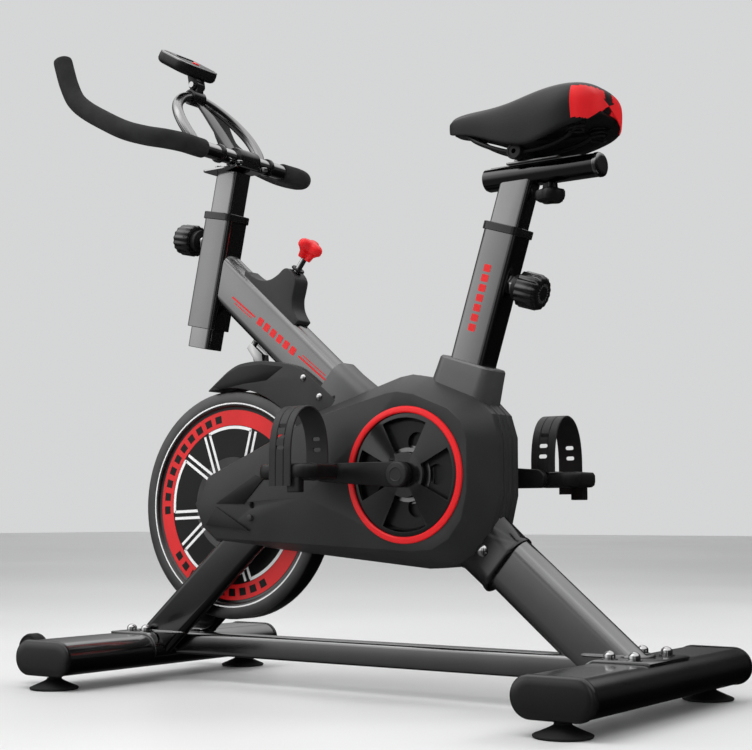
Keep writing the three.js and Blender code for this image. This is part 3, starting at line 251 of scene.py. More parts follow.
STRAP = finish("strap_rubber", grey(0.014), grey(0.021), (0.40, 0.56), 0.0, 16, 1000, 0.2, specular=0.4)
FOAM = finish("foam", grey(0.014), grey(0.024), (0.80, 0.95), 0.0, 40, 1100, 0.9, specular=0.3)
LEATHER = finish("leatherette", grey(0.006), grey(0.010), (0.36, 0.50), 0.0, 14, 620, 0.35, specular=0.4,
                 pattern="cells")
BRAKE_LEATHER = finish("brake_leather", (0.16, 0.09, 0.05), (0.23, 0.14, 0.08), (0.7, 0.85), 0.0, 30, 700,
                       0.5)
RED = finish("red_plastic", (0.66, 0.004, 0.008), (0.78, 0.006, 0.010), (0.26, 0.36), 0.0, 14, 1200, 0.08)
PRINT_RED = finish("red_print", (0.60, 0.010, 0.012), (0.70, 0.014, 0.016), (0.34, 0.44), 0.0, 20, 1200, 0.05)
PRINT_WHITE = finish("white_print", grey(0.80), grey(0.88), (0.34, 0.44), 0.0, 20, 1200, 0.05)
PRINT_BLACK = finish("black_print", grey(0.004), grey(0.007), (0.30, 0.42), 0.0, 20, 1200, 0.05, specular=0.3)
FLOOR = finish("pale_floor", grey(0.76), grey(0.80), (0.30, 0.42), 0.0, 0.8, 40, 0.0, specular=0.3)


# ---------------------------------------------------------------- shapes

class Shape:
    """Corners in the bike's millimetres, and the faces that join them."""

    def __init__(self, corners, faces):
        self.corners = [Vector(corner) for corner in corners]
        self.faces = faces

    def __add__(self, other):
        first = len(self.corners)
        faces = self.faces + [tuple(i + first for i in face) for face in other.faces]
        return Shape(self.corners + other.corners, faces)

    def under(self, matrix):
        return Shape([matrix @ corner for corner in self.corners], self.faces)

    def moved(self, x, y, z):
        return self.under(Matrix.Translation((x, y, z)))

    def mirrored(self):
        return Shape([(c.x, -c.y, c.z) for c in self.corners], self.faces)


def total(shapes):
    shapes = list(shapes)
    whole = shapes[0]
    for shape in shapes[1:]:
        whole = whole + shape
    return whole


def loft(loops, ring=False):
    """A skin over a row of loops with equal numbers of corners, closed at both ends or into a ring."""
    count = len(loops[0])
    rows = len(loops)
    faces = []
    for i in range(rows if ring else rows - 1):
        a, b = i * count, (i + 1) % rows * count
        for j in range(count):
            k = (j + 1) % count
            faces.append((a + j, a + k, b + k, b + j))
    if not ring:
        faces.append(tuple(reversed(range(count))))
        faces.append(tuple(range((rows - 1) * count, rows * count)))
    return Shape([corner for loop in loops for corner in loop], faces)


def rounded(width, height, radius, steps=6):
    """A function of growth that gives a rounded rectangle; its corners keep the same number of points."""
    def section(grow=0):
        w, h, r = width / 2 + grow, height / 2 + grow, max(radius + grow, 0.05)
        corners = ((w - r, -h + r, -90), (w - r, h - r, 0), (-w + r, h - r, 90), (-w + r, -h + r, 180))
        points = []
        for u, v, start in corners:
            for i in range(steps + 1):
                angle = math.radians(start + 90 * i / steps)
                points.append((u + r * math.cos(angle), v + r * math.sin(angle)))
        return points
    return section


def oval(width, height, steps=9):
    return rounded(width, height, min(width, height) / 2 - 0.01, steps)


def axes(origin, u, v, w):
    matrix = Matrix((u, v, w)).transposed().to_4x4()
    matrix.translation = Vector(origin)
    return matrix


def stack(section, matrix, stops):
    """Sections one above another: each stop is a height and how much the section has grown there."""
    return loft([[matrix @ Vector((u, v, height)) for u, v in section(grow)] for height, grow in stops])


def edged(low, high, chamfer=0.8):
    return [(low, -chamfer), (low + chamfer, 0), (high - chamfer, 0), (high, -chamfer)]


def run(section, start, end, y=0, stops=None, chamfer=0.8):
    """A section run between two points of the side view; its first side lies in that view."""
    along = Vector((end[0] - start[0], 0, end[1] - start[1]))
    length = along.length
    along.normalize()
    matrix = axes((start[0], y, start[1]), Y.cross(along), Y, along)
    return stack(section, matrix, stops or edged(0, length, chamfer))


def across(section, x, z, stops):
    """A section run along Y; its width lies along X."""
    return stack(section, axes((x, 0, z), X, Z, Y), stops)


def fixed(points):
    return lambda grow: points


def plate(outline, low, high):
    """An outline of the side view given a thickness along Y."""
    return across(fixed(outline), 0, 0, [(low, 0), (high, 0)])


def turned(profile, origin, axis, steps=48, ring=False):
    """Turns a profile of (radius, height) round an axis. A ring's profile closes on itself."""
    axis = Vector(axis).normalized()
    side = axis.orthogonal().normalized() if abs(axis.y) < 0.9 else X.copy()
    other = axis.cross(side)
    loops = []
    for radius, height in profile:
        base = Vector(origin) + axis * height
        turn = [2 * math.pi * i / steps for i in range(steps)]
        loops.append([base + (side * math.cos(a) + other * math.sin(a)) * radius for a in turn])
    return loft(loops, ring)


def smooth_line(points, fine=8):
    """A smooth curve through points."""
    points = [Vector(point) for point in points]
    line = []
    for i in range(len(points) - 1):
        before = points[max(i - 1, 0)]
        after = points[min(i + 2, len(points) - 1)]
        reach = (points[i + 1] - points[i]).length / 3
        out = (points[i + 1] - before).normalized() * reach
        back = (after - points[i]).normalized() * reach
        bend = interpolate_bezier(points[i], points[i] + out, points[i + 1] - back, points[i + 1], fine + 1)
        line += bend[:-1]
    return line + [points[-1]]


def swept(points, radius, fine=8, sides=20, smooth=True):
    """A round bar along a curve; radius is a number, or a function of the share of the way along."""
    line = smooth_line(points, fine) if smooth else [Vector(point) for point in points]
    size = radius if callable(radius) else lambda share: radius
    loops = []
    normal = (line[1] - line[0]).orthogonal().normalized()
    for i, point in enumerate(line):
        tangent = (line[min(i + 1, len(line) - 1)] - line[max(i - 1, 0)]).normalized()
        normal = (normal - tangent * normal.dot(tangent)).normalized()
        other = tangent.cross(normal)
        r = size(i / (len(line) - 1))
        turn = [2 * math.pi * j / sides for j in range(sides)]
        loops.append([point + (normal * math.cos(a) + other * math.sin(a)) * r for a in turn])
    return loft(loops)


def link(a, radius_a, b, radius_b, steps=14):
    """The outline round two circles of the side view, as a crank arm has."""
    a, b = Vector(a), Vector(b)
    angle = math.atan2(b.y - a.y, b.x - a.x)
    spread = math.acos((radius_a - radius_b) / (b - a).length)
    points = []
    for point, radius, start, sweep in (
        (a, radius_a, angle + spread, 2 * math.pi - 2 * spread), (b, radius_b, angle - spread, 2 * spread),
    ):
        for i in range(steps + 1):
            t = start + sweep * i / steps
            points.append((point.x + radius * math.cos(t), point.y + radius * math.sin(t)))
    return points


def arc(cx, cz, radius, start, end, steps):
    """Points of the side view on a circle, from one angle in degrees to another."""
    turn = [math.radians(start + (end - start) * i / steps) for i in range(steps + 1)]
    return [(cx + radius * math.cos(a), cz + radius * math.sin(a)) for a in turn]


def apply_changes(thing):
    graph = bpy.context.evaluated_depsgraph_get()
    mesh = bpy.data.meshes.new_from_object(thing.evaluated_get(graph))
    thing.modifiers.clear()
    thing.data = mesh


def raw_object(name, shape):
    mesh = bpy.data.meshes.new(name)
    mesh.from_pydata([place(corner) for corner in shape.corners], [], shape.faces)
    work = bmesh.new()
    work.from_mesh(mesh)
    bmesh.ops.remove_doubles(work, verts=work.verts, dist=2e-6)
    bmesh.ops.recalc_face_normals(work, faces=work.faces)
    work.to_mesh(mesh)
    work.free()
    thing = bpy.data.objects.new(name, mesh)
    bpy.context.scene.collection.objects.link(thing)
    return thing


def piece(name, shape, body, look, nodes=(), bevel=0, cuts=(), angle=32, levels=0, segments=2):
    """Builds a shape as one object of the bike: cut, edges rounded, coloured and riding on its body."""
    thing = raw_object(name, shape)
    for i, cutter in enumerate(cuts):
        tool = raw_object(f"{name}_cutter_{i}", cutter)
        hole = thing.modifiers.new("cut", "BOOLEAN")
        hole.operation, hole.object, hole.solver, hole.use_self = "DIFFERENCE", tool, "EXACT", True
        apply_changes(thing)
        bpy.data.objects.remove(tool)
    if bevel:
        soft = thing.modifiers.new("bevel", "BEVEL")
        soft.width, soft.segments = bevel * MM, segments
        soft.limit_method, soft.angle_limit = "ANGLE", math.radians(30)
        soft.use_clamp_overlap = True
        apply_changes(thing)
    if levels:
        round_off = thing.modifiers.new("round", "SUBSURF")
        round_off.levels = round_off.render_levels = levels
        apply_changes(thing)
    thing.data.shade_smooth()
    thing.data.set_sharp_from_angle(angle=math.radians(angle))
    thing.data.materials.clear()
    thing.data.materials.append(look)
    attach(thing, body)
    if nodes:
        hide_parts(*nodes)
    return thing


# ---------------------------------------------------------------- the scene

camera()
studio()
bpy.ops.mesh.primitive_grid_add(x_subdivisions=4, y_subdivisions=4, size=40)
floor = bpy.context.object
floor.name = "floor"
floor.data.materials.append(FLOOR)
floor.visible_glossy = False


# ---------------------------------------------------------------- base

def dome_nut(name, x, y, z, axis=Z, size=1.0):
    profile = [(11, 0), (11, 1.4), (8.2, 1.6), (8.2, 6.5), (7.2, 8.5), (5, 10.6), (2.4, 11.8), (0.4, 12.2)]
    shape = turned([(r * size, h * size) for r, h in profile], (x, y, z), axis, 24)
    piece(name, shape, "frame", CHROME)


stadium = oval(STABILISER["depth"], STABILISER["height"])
wheel = centre("transport_wheel_left")
for end, x, inward in (("front", 0, 1), ("rear", REAR_X, -1)):
    half, z = STABILISER["half"], STABILISER["z"]
    piece(f"{end}_tube", across(stadium, x, z, [(-half, 0), (half, 0)]), "frame", PAINT,
          [f"{end}_stabilizer"])
    over = [p for p in stadium(0.3) if p[1] > -10 and p[0] * inward > -44]
    over.sort(key=lambda p: math.atan2(p[1], p[0] * inward))
    outside = [p for p in stadium(3.8) if p[1] > -10 and p[0] * inward > -44]
    outside.sort(key=lambda p: math.atan2(p[1], p[0] * inward))
    saddle_plate = across(fixed(over + outside[::-1]), x, z, [(-65, 0), (65, 0)])
    piece(f"{end}_plate", saddle_plate, "frame", PAINT, [f"{end}_mount_plate"], bevel=1)
    for side, s in SIDES:
        crown = [(250.3, 1.0), (251, 1.4), (255, 1.4), (256.3, 0.6), (257.3, -2), (258, -6), (258.4, -12)]
        cap = stack(stadium, axes((x, 0, z), X, Z, Y * s), crown)
        piece(f"{end}_end_cap_{side}", cap, "frame", GLOSS_BLACK, [f"{end}_cap_{side}"],
              angle=50)
        y = centre(f"{end}_foot_{side}").y
        pad = [(34, 0), (37, 0.6), (38, 2), (38, 3.6), (36.5, 4.6), (28, 8), (18, 12.5), (13, 15),
               (11.5, 16.5),
               (11.5, 18), (9, 18), (9, 22.8), (4, 22.8), (4, 36)]
        piece(f"{end}_foot_pad_{side}", turned(pad, (x, y, 0), Z, 48), f"{end}_foot_{side}", RUBBER,
              [f"{end}_foot_{side}"])
for side, s in SIDES:
    y = s * 196
    tread = [(5.5, -11), (18, -11), (18.5, -9.5), (21, -9.5), (22, -11), (23.6, -10.4), (25, -7), (25, -2.2),
             (24.2, -1.6), (24.2, 1.6), (25, 2.2), (25, 7), (23.6, 10.4), (22, 11), (21, 9.5), (18.5, 9.5),
             (18, 11), (5.5, 11)]
    piece(f"wheel_{side}", turned(tread, (wheel.x, y, wheel.z), Y, 48, ring=True), f"transport_wheel_{side}",
          RUBBER, [f"transport_wheel_{side}"])
    ear = link((wheel.x, wheel.z), 8, (-50, 52), 7.9)
    ears = total(plate(ear, y + o - 2, y + o + 2) for o in (-14, 14))
    pin = turned([(4, -19), (6.5, -19), (6.5, -16), (5, -16), (5, 16), (6.5, 16), (6.5, 19), (4, 19)],
                 (wheel.x, y, wheel.z), Y, 20)
    piece(f"wheel_bracket_{side}", ears, "frame", PAINT, bevel=0.6)
    piece(f"wheel_pin_{side}", pin, "frame", STEEL)
rail = run(rounded(36, 40, 7), (40, 61), (856, 61))
piece("rail", rail, "frame", PAINT, ["centre_rail"])
for i, (x, y) in enumerate(((-6, -52), (-6, 52), (26, -52), (26, 52), (REAR_X - 22, -52), (REAR_X - 22, 52),
                            (REAR_X + 14, -52), (REAR_X + 14, 52))):
    dome_nut(f"dome_nut_{i}", x, y, 79.3)


# ---------------------------------------------------------------- frame tubes

def lean_frame(tube, at=0.0):
    """The place a distance up a leaning tube, with its depth, width and length directions."""
    angle = math.radians(tube["lean"])
    up = Vector((math.sin(angle), 0, math.cos(angle)))
    origin = Vector((tube["x"], 0, tube["z"])) + up * at
    return origin, Y.cross(up), up


def sleeve(tube, section, low, high, chamfer=0.8, stops=None):
    origin, depth, up = lean_frame(tube)
    return stack(section, axes(origin, depth, Y, up), stops or edged(low, high, chamfer))


head_section = rounded(HEAD["depth"], HEAD["width"], 10)
seat_section = rounded(SEAT["depth"], SEAT["width"], 11)
piece("head_tube", sleeve(HEAD, head_section, HEAD["base"], HEAD["top"]), "frame", PAINT,
      ["head_sleeve"])
piece("seat_tube", sleeve(SEAT, seat_section, SEAT["base"], SEAT["top"]), "frame", PAINT,
      ["seat_sleeve"])
piece("down_tube_skin", run(rounded(76, 42, 15), (142, 676.6), (537, 333)), "frame", PAINT,
      ["down_tube"])
piece("rear_leg_skin", run(oval(86, 46), (CRANK.x, CRANK.z - 14), (878, 47)), "frame", PAINT,
      ["rear_leg"])
shell = turned([(9.5, -40), (24, -40), (25, -39), (25, 39), (24, 40), (9.5, 40)], CRANK, Y, 40, ring=True)
piece("crank_shell", shell, "frame", PAINT, ["bottom_bracket"])
for side, s in SIDES:
    y = s * 34
    tube = run(oval(66, 22), (16, 49), (428, 408), y)
    web = plate([(AXLE.x - 14, AXLE.z - 14), (AXLE.x - 14, AXLE.z + 14), (AXLE.x + 14, AXLE.z + 20),
                 (AXLE.x + 88, AXLE.z + 6), (AXLE.x + 30, AXLE.z - 56)], y - 6, y + 6)
    boss = turned([(8.5, -8), (19, -8), (20, -7), (20, 7), (19, 8), (8.5, 8)], (AXLE.x, y, AXLE.z), Y, 36,
                  ring=True)
    gusset = plate([(30, 84), (100, 84), (96, 92), (92, 104), (92, 124), (70, 100)], y - 3, y + 3)
    # The front legs take the darker paint copy as painted shade.
    piece(f"front_leg_tube_{side}", tube + web + boss + gusset, "frame", DARK_PAINT_AND_SHADE,
          [f"front_leg_{side}"], bevel=0.6)
for side, s in SIDES:
    ring = [(50 + u * 1.45, s * 34 + v, 80.5) for u, v in oval(66, 22)(1.0)]
    piece(f"leg_weld_{side}", swept(ring + ring[:1], 2.6, sides=8, smooth=False), "frame",
          PAINT)
rear_ring = [(858 + u * 1.25, v, 80.5) for u, v in oval(86, 46)(1.0)]
piece("rear_leg_weld", swept(rear_ring + rear_ring[:1], 2.8, sides=8, smooth=False), "frame",
      PAINT)


# ---------------------------------------------------------------- flywheel, drive and cranks

def flywheel_profile():
    r = WHEEL_RADIUS
    half = [(8.3, 18.4), (25, 18.4), (26.5, 17.5), (30, 13.4), (0.845 * r, 13), (0.86 * r, 14),
            (0.87 * r, 17.6),
            (0.885 * r, 18.4), (r - 3.4, 18.4), (r - 1, 17.4), (r, 15.4)]
    return half + [(radius, -height) for radius, height in reversed(half)]


piece("flywheel_disc", turned(flywheel_profile(), AXLE, Y, 96, ring=True), "flywheel", IRON,
      ["flywheel"])


def flat_ring(inner, outer, low, high, start=0, end=360, steps=96):
    points = arc(AXLE.x, AXLE.z, outer, start, end, steps) + arc(AXLE.x, AXLE.z, inner, end, start, steps)
    return plate(points, low, high)


def full_ring(inner, outer, low, high, steps=96):
    return turned([(inner, low), (outer, low), (outer, high), (inner, high)], (AXLE.x, 0, AXLE.z), Y, steps,
                  ring=True)


def strip(a, b, width, low, high):
    a, b = Vector(a), Vector(b)
    across_it = (b - a).normalized().orthogonal() * width / 2
    return plate([tuple(a - across_it), tuple(b - across_it), tuple(b + across_it), tuple(a + across_it)],
                 low, high)


def polar(radius, angle):
    turn = math.radians(angle)
    return (AXLE.x + radius * math.cos(turn), AXLE.z + radius * math.sin(turn))


def beside(a, b, shift):
    """The stretch from a to b moved sideways."""
    a, b = Vector(a), Vector(b)
    step = (b - a).normalized().orthogonal() * shift
    return a + step, b + step


def spoke_lines(low, high):
    """White outlines of five V-shaped spokes, and the arcs between them."""
    parts = []
    for k in range(5):
        heart = 57 + 72 * k
        for hand in (-1, 1):
            foot, tip = polar(58, heart + hand * 6), polar(127, heart + hand * 13)
            for shift in (-5.5, 5.5):
                start, stop = beside(foot, tip, shift)
                parts.append(strip(start, stop, 4.6, low, high))
        parts.append(flat_ring(124.5, 129.5, low, high, heart + 15, heart + 57, 16))
        parts.append(flat_ring(50, 54, low, high, heart + 14, heart + 58, 10))
    return total(parts)


for side, s in SIDES:
    web, lip = s * 13, s * 18.4
    layers = {
        "black": full_ring(32, 0.838 * WHEEL_RADIUS, min(web, web + s * 0.25), max(web, web + s * 0.25)),
        "red": full_ring(0.70 * WHEEL_RADIUS, 0.835 * WHEEL_RADIUS, min(web, web + s * 0.5),
                         max(web, web + s * 0.5)),
        "white": spoke_lines(min(web, web + s * 0.5), max(web, web + s * 0.5))
        + full_ring(0.886 * WHEEL_RADIUS, 0.898 * WHEEL_RADIUS, min(lip, lip + s * 0.15),
                    max(lip, lip + s * 0.15)),
    }
    for colour, look in (("black", PRINT_BLACK), ("red", PRINT_RED), ("white", PRINT_WHITE)):
        piece(f"flywheel_print_{colour}_{side}", layers[colour], "flywheel", look)
    marks = [flat_ring(0.735 * WHEEL_RADIUS, 0.80 * WHEEL_RADIUS, min(web, web + s * 0.8),
                       max(web, web + s * 0.8),
                       start, start + 5.2, 3) for group in (100, 214) for start in range(group, group + 88,
                                                                                         9)]
    piece(f"flywheel_marks_{side}", total(marks), "flywheel", PRINT_BLACK)

shaft = turned([(7, -62), (8, -61), (8, 49), (7, 50)], (AXLE.x, 0, AXLE.z), Y, 32)
small = turned([(4, -61), (20, -61), (20, -60.2), (17, -59.8), (17, -50.2), (20, -49.8), (20, -49), (4, -49)],
               (AXLE.x, 0, AXLE.z), Y, 40, ring=True)
piece("wheel_shaft", shaft + small, "flywheel", STEEL, ["flywheel_shaft"])
pulley = turned([(9.3, -6), (79, -6), (79, -5.3), (76, -5), (76, 5), (79, 5.3), (79, 6), (9.3, 6)],
                (CRANK.x, -55, CRANK.z), Y, 72, ring=True)
holes = [turned([(15, -70), (15, -40)], (CRANK.x + 50 * math.cos(a), 0, CRANK.z + 50 * math.sin(a)), Y, 28)
         for a in (math.radians(72 * k) for k in range(5))]
piece("crank_pulley", pulley, "crank", BLACK, ["drive_pulley"], cuts=holes)
piece("pulley_ring", turned([(34, -62.2), (40, -62.2), (40, -61), (34, -61)], (CRANK.x, 0, CRANK.z), Y, 60,
                            ring=True),
      "crank", STEEL)
spindle = turned([(7, -94), (9, -92), (9, 92), (7, 94)], CRANK, Y, 32)
piece("spindle", spindle, "crank", STEEL, ["crank_spindle"])
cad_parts["drive_belt"].data.materials.clear()
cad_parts["drive_belt"].data.materials.append(RUBBER)
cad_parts["brake_pad"].data.materials.clear()
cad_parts["brake_pad"].data.materials.append(BRAKE_LEATHER)


# The crank and pedals: eye to eye length, droop of the left arm, and how far out a pedal sits.
CRANK_LENGTH = 137
CRANK_DROOP = 2
PEDAL_OUT = 146


def pedal_place(s):
    turn = math.radians(CRANK_DROOP)
    return CRANK.x + s * CRANK_LENGTH * math.cos(turn), CRANK.z - s * CRANK_LENGTH * math.sin(turn)


for side, s in SIDES:
    px, pz = pedal_place(s)
    near, far = sorted((s * 77.5, s * 90))
    arm = plate(link((CRANK.x, CRANK.z), 19, (px, pz), 14), near, far)
    spindle_end = turned([(6, 88), (6, 181)], (px, 0, pz), Y * s, 24)
    piece(f"crank_arm_{side}_bar", arm + spindle_end, "crank", BLACK, [f"crank_arm_{side}"],
          bevel=1.6,
          segments=3)
    hub = turned([(15, 89.5), (18, 91), (18, 92.5), (16.5, 94), (10, 95), (9, 94.2), (2, 94.2)],
                 (CRANK.x, 0, CRANK.z), Y * s, 40)
    piece(f"crank_cap_{side}", hub, "crank", STRAP)


for side, s in SIDES:
    px, pz = pedal_place(s)
    body = f"pedal_{side}"
    base = axes((px, s * PEDAL_OUT, pz), X, Y, Z)
    deck = stack(rounded(104, 84, 24, 8), base,
                 [(-12, -5), (-9, -0.5), (-3, 0.8), (6, 0.6), (9.5, -1.5), (10.5, -5)])
    barrel = turned([(6.6, -42), (12, -42), (12.5, -40), (12.5, 40), (12, 42), (6.6, 42)],
                    (px, s * PEDAL_OUT, pz), Y, 32,
                    ring=True)
    slots = [stack(rounded(9, 30, 4, 4), base @ Matrix.Translation((x, y, 0)), [(-20, 0), (20, 0)])
             for x in (-38, -25, 25, 38) for y in (-19, 19)]
    treads = total(stack(rounded(4, 62, 1.8, 3), base @ Matrix.Translation((x, 0, 8)),
                         [(0, 0), (2.2, 0), (2.8, -0.8)])
                   for x in (-45, -31.5, -18, 18, 31.5, 45))
    weight = stack(rounded(24, 13, 3, 4), base @ Matrix.Translation((20, s * 34, 0)),
                   [(-31, -1), (-30, 0), (-8, 0)])
    piece(f"pedal_deck_{side}", deck, body, BLACK, [f"pedal_{side}"], cuts=slots, bevel=0.7)
    piece(f"pedal_barrel_{side}", barrel + treads + weight, body, BLACK)
    path = []
    for i in range(41):
        share = i / 40
        angle = math.pi * share
        across_it = -s * 46.5 * math.cos(angle)
        rise = 96 * math.sin(angle) ** 0.62
        path.append((across_it, rise))
    reach = [(-s * 44.8, 10)] + [(u * 0.97, max(v, 14)) for u, v in path[2:-2]] + [(s * 44.8, -22)]
    line = smooth_line([(px, s * PEDAL_OUT + u, pz + v) for u, v in reach], 3)
    ribs = (-20, -19, -8.2, -7.2, -6.2, 6.2, 7.2, 8.2, 19, 20)
    rise = (1.0, 1.7, 1.7, 0.6, 1.7, 1.7, 0.6, 1.7, 1.7, 1.0)
    loops = []
    for i, point in enumerate(line):
        tangent = (line[min(i + 1, len(line) - 1)] - line[max(i - 1, 0)]).normalized()
        out = tangent.cross(X) * (1 if s > 0 else -1)
        out = out if out.dot(point - Vector((px, s * PEDAL_OUT, pz + 30))) > 0 else -out
        top = [point + X * u + out * r for u, r in zip(ribs, rise)]
        under = [point + X * 20 - out * 0.9, point - X * 20 - out * 0.9]
        loops.append(top + under)
    band = loft(loops)
    cutters = []
    for z in (34, 50, 66):
        for hand in (-1, 1):
            cutters.append(stack(rounded(14, 6, 2.5, 4),
                                 axes((px, s * PEDAL_OUT + hand * 60, pz + z), X, Z, Y),
                                 [(-22, 0), (22, 0)]))
    piece(f"toe_strap_{side}", band, body, STRAP, [f"pedal_strap_{side}"], cuts=cutters)


# ---------------------------------------------------------------- housing

OUTLINE = [
    (128, 290), (158, 334), (371, 436), (522, 480), (545, 483), (576, 477), (654, 446), (682, 418),
    (692, 385), (692, 300), (680, 250), (650, 213), (613, 196), (575, 193), (160, 230), (140, 248),
]
HUB = Vector((470, 331))


def drawn_in(distance):
    points = []
    for x, z in OUTLINE:
        out = Vector((x, z)) - HUB
        points.append(HUB + out * (1 - distance / out.length))
    return points


FACE_LOOP = [
    (138, 291), (168, 335), (382, 420), (524, 453), (545, 455), (574, 450), (634, 426), (656, 407),
    (666, 380), (666, 305), (656, 264), (634, 236), (606, 221), (572, 218), (184, 235), (154, 254),
]
FACE_DEPTH = [60, 62, 70, 72, 72, 72, 72, 72, 72, 72, 72, 72, 72, 72, 62, 60]


def housing_half(s):
    """One moulded half: flange, groove, drafted side, then the face with its tapering nose."""
    rows = [(0.15, 0.0), (11, 0.0), (11.8, 1.6), (14, 1.6), (14.8, 0.2), (28, 0.2), (30, 1.0)]
    loops = [[(p.x, s * y, p.y) for p in drawn_in(inset)] for y, inset in rows]
    chamfer = [(x, s * (depth - 2.2), z) for (x, z), depth in zip(FACE_LOOP, FACE_DEPTH)]
    edge = [(x + (HUB.x - x) * 0.012, s * (depth - 0.4), z + (HUB.y - z) * 0.012)
            for (x, z), depth in zip(FACE_LOOP, FACE_DEPTH)]
    loops += [chamfer, edge]
    skin = loft(loops)
    skin.faces.pop()
    first = (len(loops) - 1) * len(OUTLINE)
    apex = len(skin.corners)
    skin.corners.append(Vector((AXLE.x + 4, s * 66, AXLE.z)))
    skin.corners.append(Vector((372, s * FACE, 300)))
    face = lambda *corners: skin.faces.append(
        tuple(first + c if c < 100 else c - 1000 + apex for c in corners))
    a, b = 1000, 1001
    for i, j in ((15, 0), (0, 1), (14, 15)):
        face(i, j, a)
    face(1, 2, a)
    face(2, b, a)
    face(b, 14, a)
    ring_side = [2, 3, 4, 5, 6, 7, 8, 9, 10, 11, 12, 13, 14]
    for i, j in zip(ring_side, ring_side[1:]):
        face(i, j, b)
    return skin


wheel_room = turned([(192.4, -21.5), (192.4, 21.5)], (AXLE.x, 0, AXLE.z), Y, 96)
for side, s in SIDES:
    well = turned([(COVER_RADIUS + 0.3, s * 52), (COVER_RADIUS + 0.3, s * 90)], (CRANK.x, 0, CRANK.z), Y, 72)
    screw_well = turned([(5.5, s * 60), (5.5, s * 90)], (266, 0, 288), Y, 24)
    piece(f"housing_shell_{side}", housing_half(s), "frame", CASING, [f"housing_{side}"],
          cuts=[wheel_room, well, screw_well], bevel=0.9, angle=24)
    bore = turned([(17, -90), (17, 90)], (CRANK.x, 0, CRANK.z), Y, 40)
    windows = []
    for k in range(4):
        a0, a1 = 90 * k - 27, 90 * k + 27
        shape = arc(CRANK.x, CRANK.z, 84, a0, a1, 18) + arc(CRANK.x, CRANK.z, 33, a1, a0, 8)
        windows.append(plate(shape, min(s * 60, s * 90), max(s * 60, s * 90)))
    disc = turned([(16, 68), (COVER_RADIUS, 68), (COVER_RADIUS, 70.8), (86, 71.7), (40, 71.7), (36, 73),
                   (16, 73.4)],
                  (CRANK.x, 0, CRANK.z), Y * s, 90, ring=True)
    piece(f"spoked_cover_{side}", disc, "frame", GLOSS_BLACK, [f"cover_disc_{side}"],
          cuts=windows,
          bevel=0.7)
    floor_of_well = turned([(17, 53), (COVER_RADIUS, 53), (COVER_RADIUS, 54), (17, 54)],
                           (CRANK.x, 0, CRANK.z), Y * s,
                           72, ring=True)
    piece(f"well_floor_{side}", floor_of_well, "frame", BLACK)
    silver = turned([(33, 54.2), (43, 54.2), (43, 56), (33, 56)], (CRANK.x, 0, CRANK.z), Y * s, 60, ring=True)
    piece(f"well_ring_{side}", silver, "frame", STEEL)
    trim = [(91, 71.8), (91.4, 74.2), (93, 75.2), (97, 75.2), (100, 74.2), (101, 72.2)]
    piece(f"red_ring_{side}", turned(trim, (CRANK.x, 0, CRANK.z), Y * s, 120, ring=True), "frame",
          RED,
          [f"trim_ring_{side}"])
    # Thin black sheets laid on the nose of each housing half are painted shade: they stand in for the shade
    # in the nose recesses.
    inset = [[(190, 291), (250, 290), (290, 329), (272, 335)], [(190, 286), (168, 256), (262, 247)]]
    lift = lambda x: 66.6 + (x - AXLE.x) * 0.030
    for i, corners in enumerate(inset):
        shape = loft([[(x, s * (lift(x) + d), z) for x, z in corners] for d in (-4, 0.5)])
        piece(f"nose_panel_{i}_{side}", shape, "frame", PRINT_BLACK, bevel=0.4)
    boss = turned([(5.2, 64.5), (5.2, 70.6), (4, 71.2), (1, 71.2)], (262, 0, 268), Y * s, 24)
    piece(f"nose_boss_{side}", boss, "frame", CASING)


# ---------------------------------------------------------------- brackets between housing and tubes

seat_cuff = sleeve(SEAT, rounded(98, 62, 18, 8), 0, 0,
                   stops=[(-190, 4), (-150, 3), (-118, 0), (-100, -1.5), (-97, -4)])
piece("seat_cuff", seat_cuff, "frame", PANEL, bevel=0.5)
down_cuff = run(rounded(92, 58, 18, 8), (372, 476.5), (470, 391.2), 0,
                [(0, -3), (1.5, 0), (26, 0), (90, 5)])
piece("down_tube_cuff", down_cuff, "frame", PANEL, bevel=0.5)
leg_cuff = run(oval(96, 58), (620, 259.2), (692, 197.8), 0,
               [(0, 6), (40, 3), (44, 1), (84, 0), (88, 1.5), (93, 1.5), (94.5, -2)])
piece("rear_leg_cuff", leg_cuff, "frame", GLOSS_BLACK, bevel=0.5)
for side, s in SIDES:
    dome = turned([(9, 0), (9, 1.5), (7, 3.5), (4, 4.8), (0.5, 5.2)], (664, s * 29.6, 221), Y * s, 24)
    piece(f"cuff_screw_{side}", dome, "frame", CHROME)
    # The small black disc on the down tube cuff is painted shade, standing in for the dark inside of a hole.
    hole = turned([(6, 0), (6, 0.6), (3, 0.8), (0.5, 0.8)], (398, s * 29.0, 452), Y * s, 24)
    piece(f"cuff_hole_{side}", hole, "frame", PRINT_BLACK)


# ---------------------------------------------------------------- fender and brake

FENDER_TOP = [(138, 478), (160, 494), (184, 510), (208, 519), (253, 521), (300, 514), (331, 504), (402, 450)]


def fender_outline(drop, foot):
    top = [(p.x, p.z) for p in smooth_line([(x, 0, z - drop) for x, z in FENDER_TOP], 4)]
    over_wheel = [p for p in arc(AXLE.x, AXLE.z, WHEEL_RADIUS + 4 + foot, 30, 102, 24)]
    return top + [(402, 392)] + over_wheel


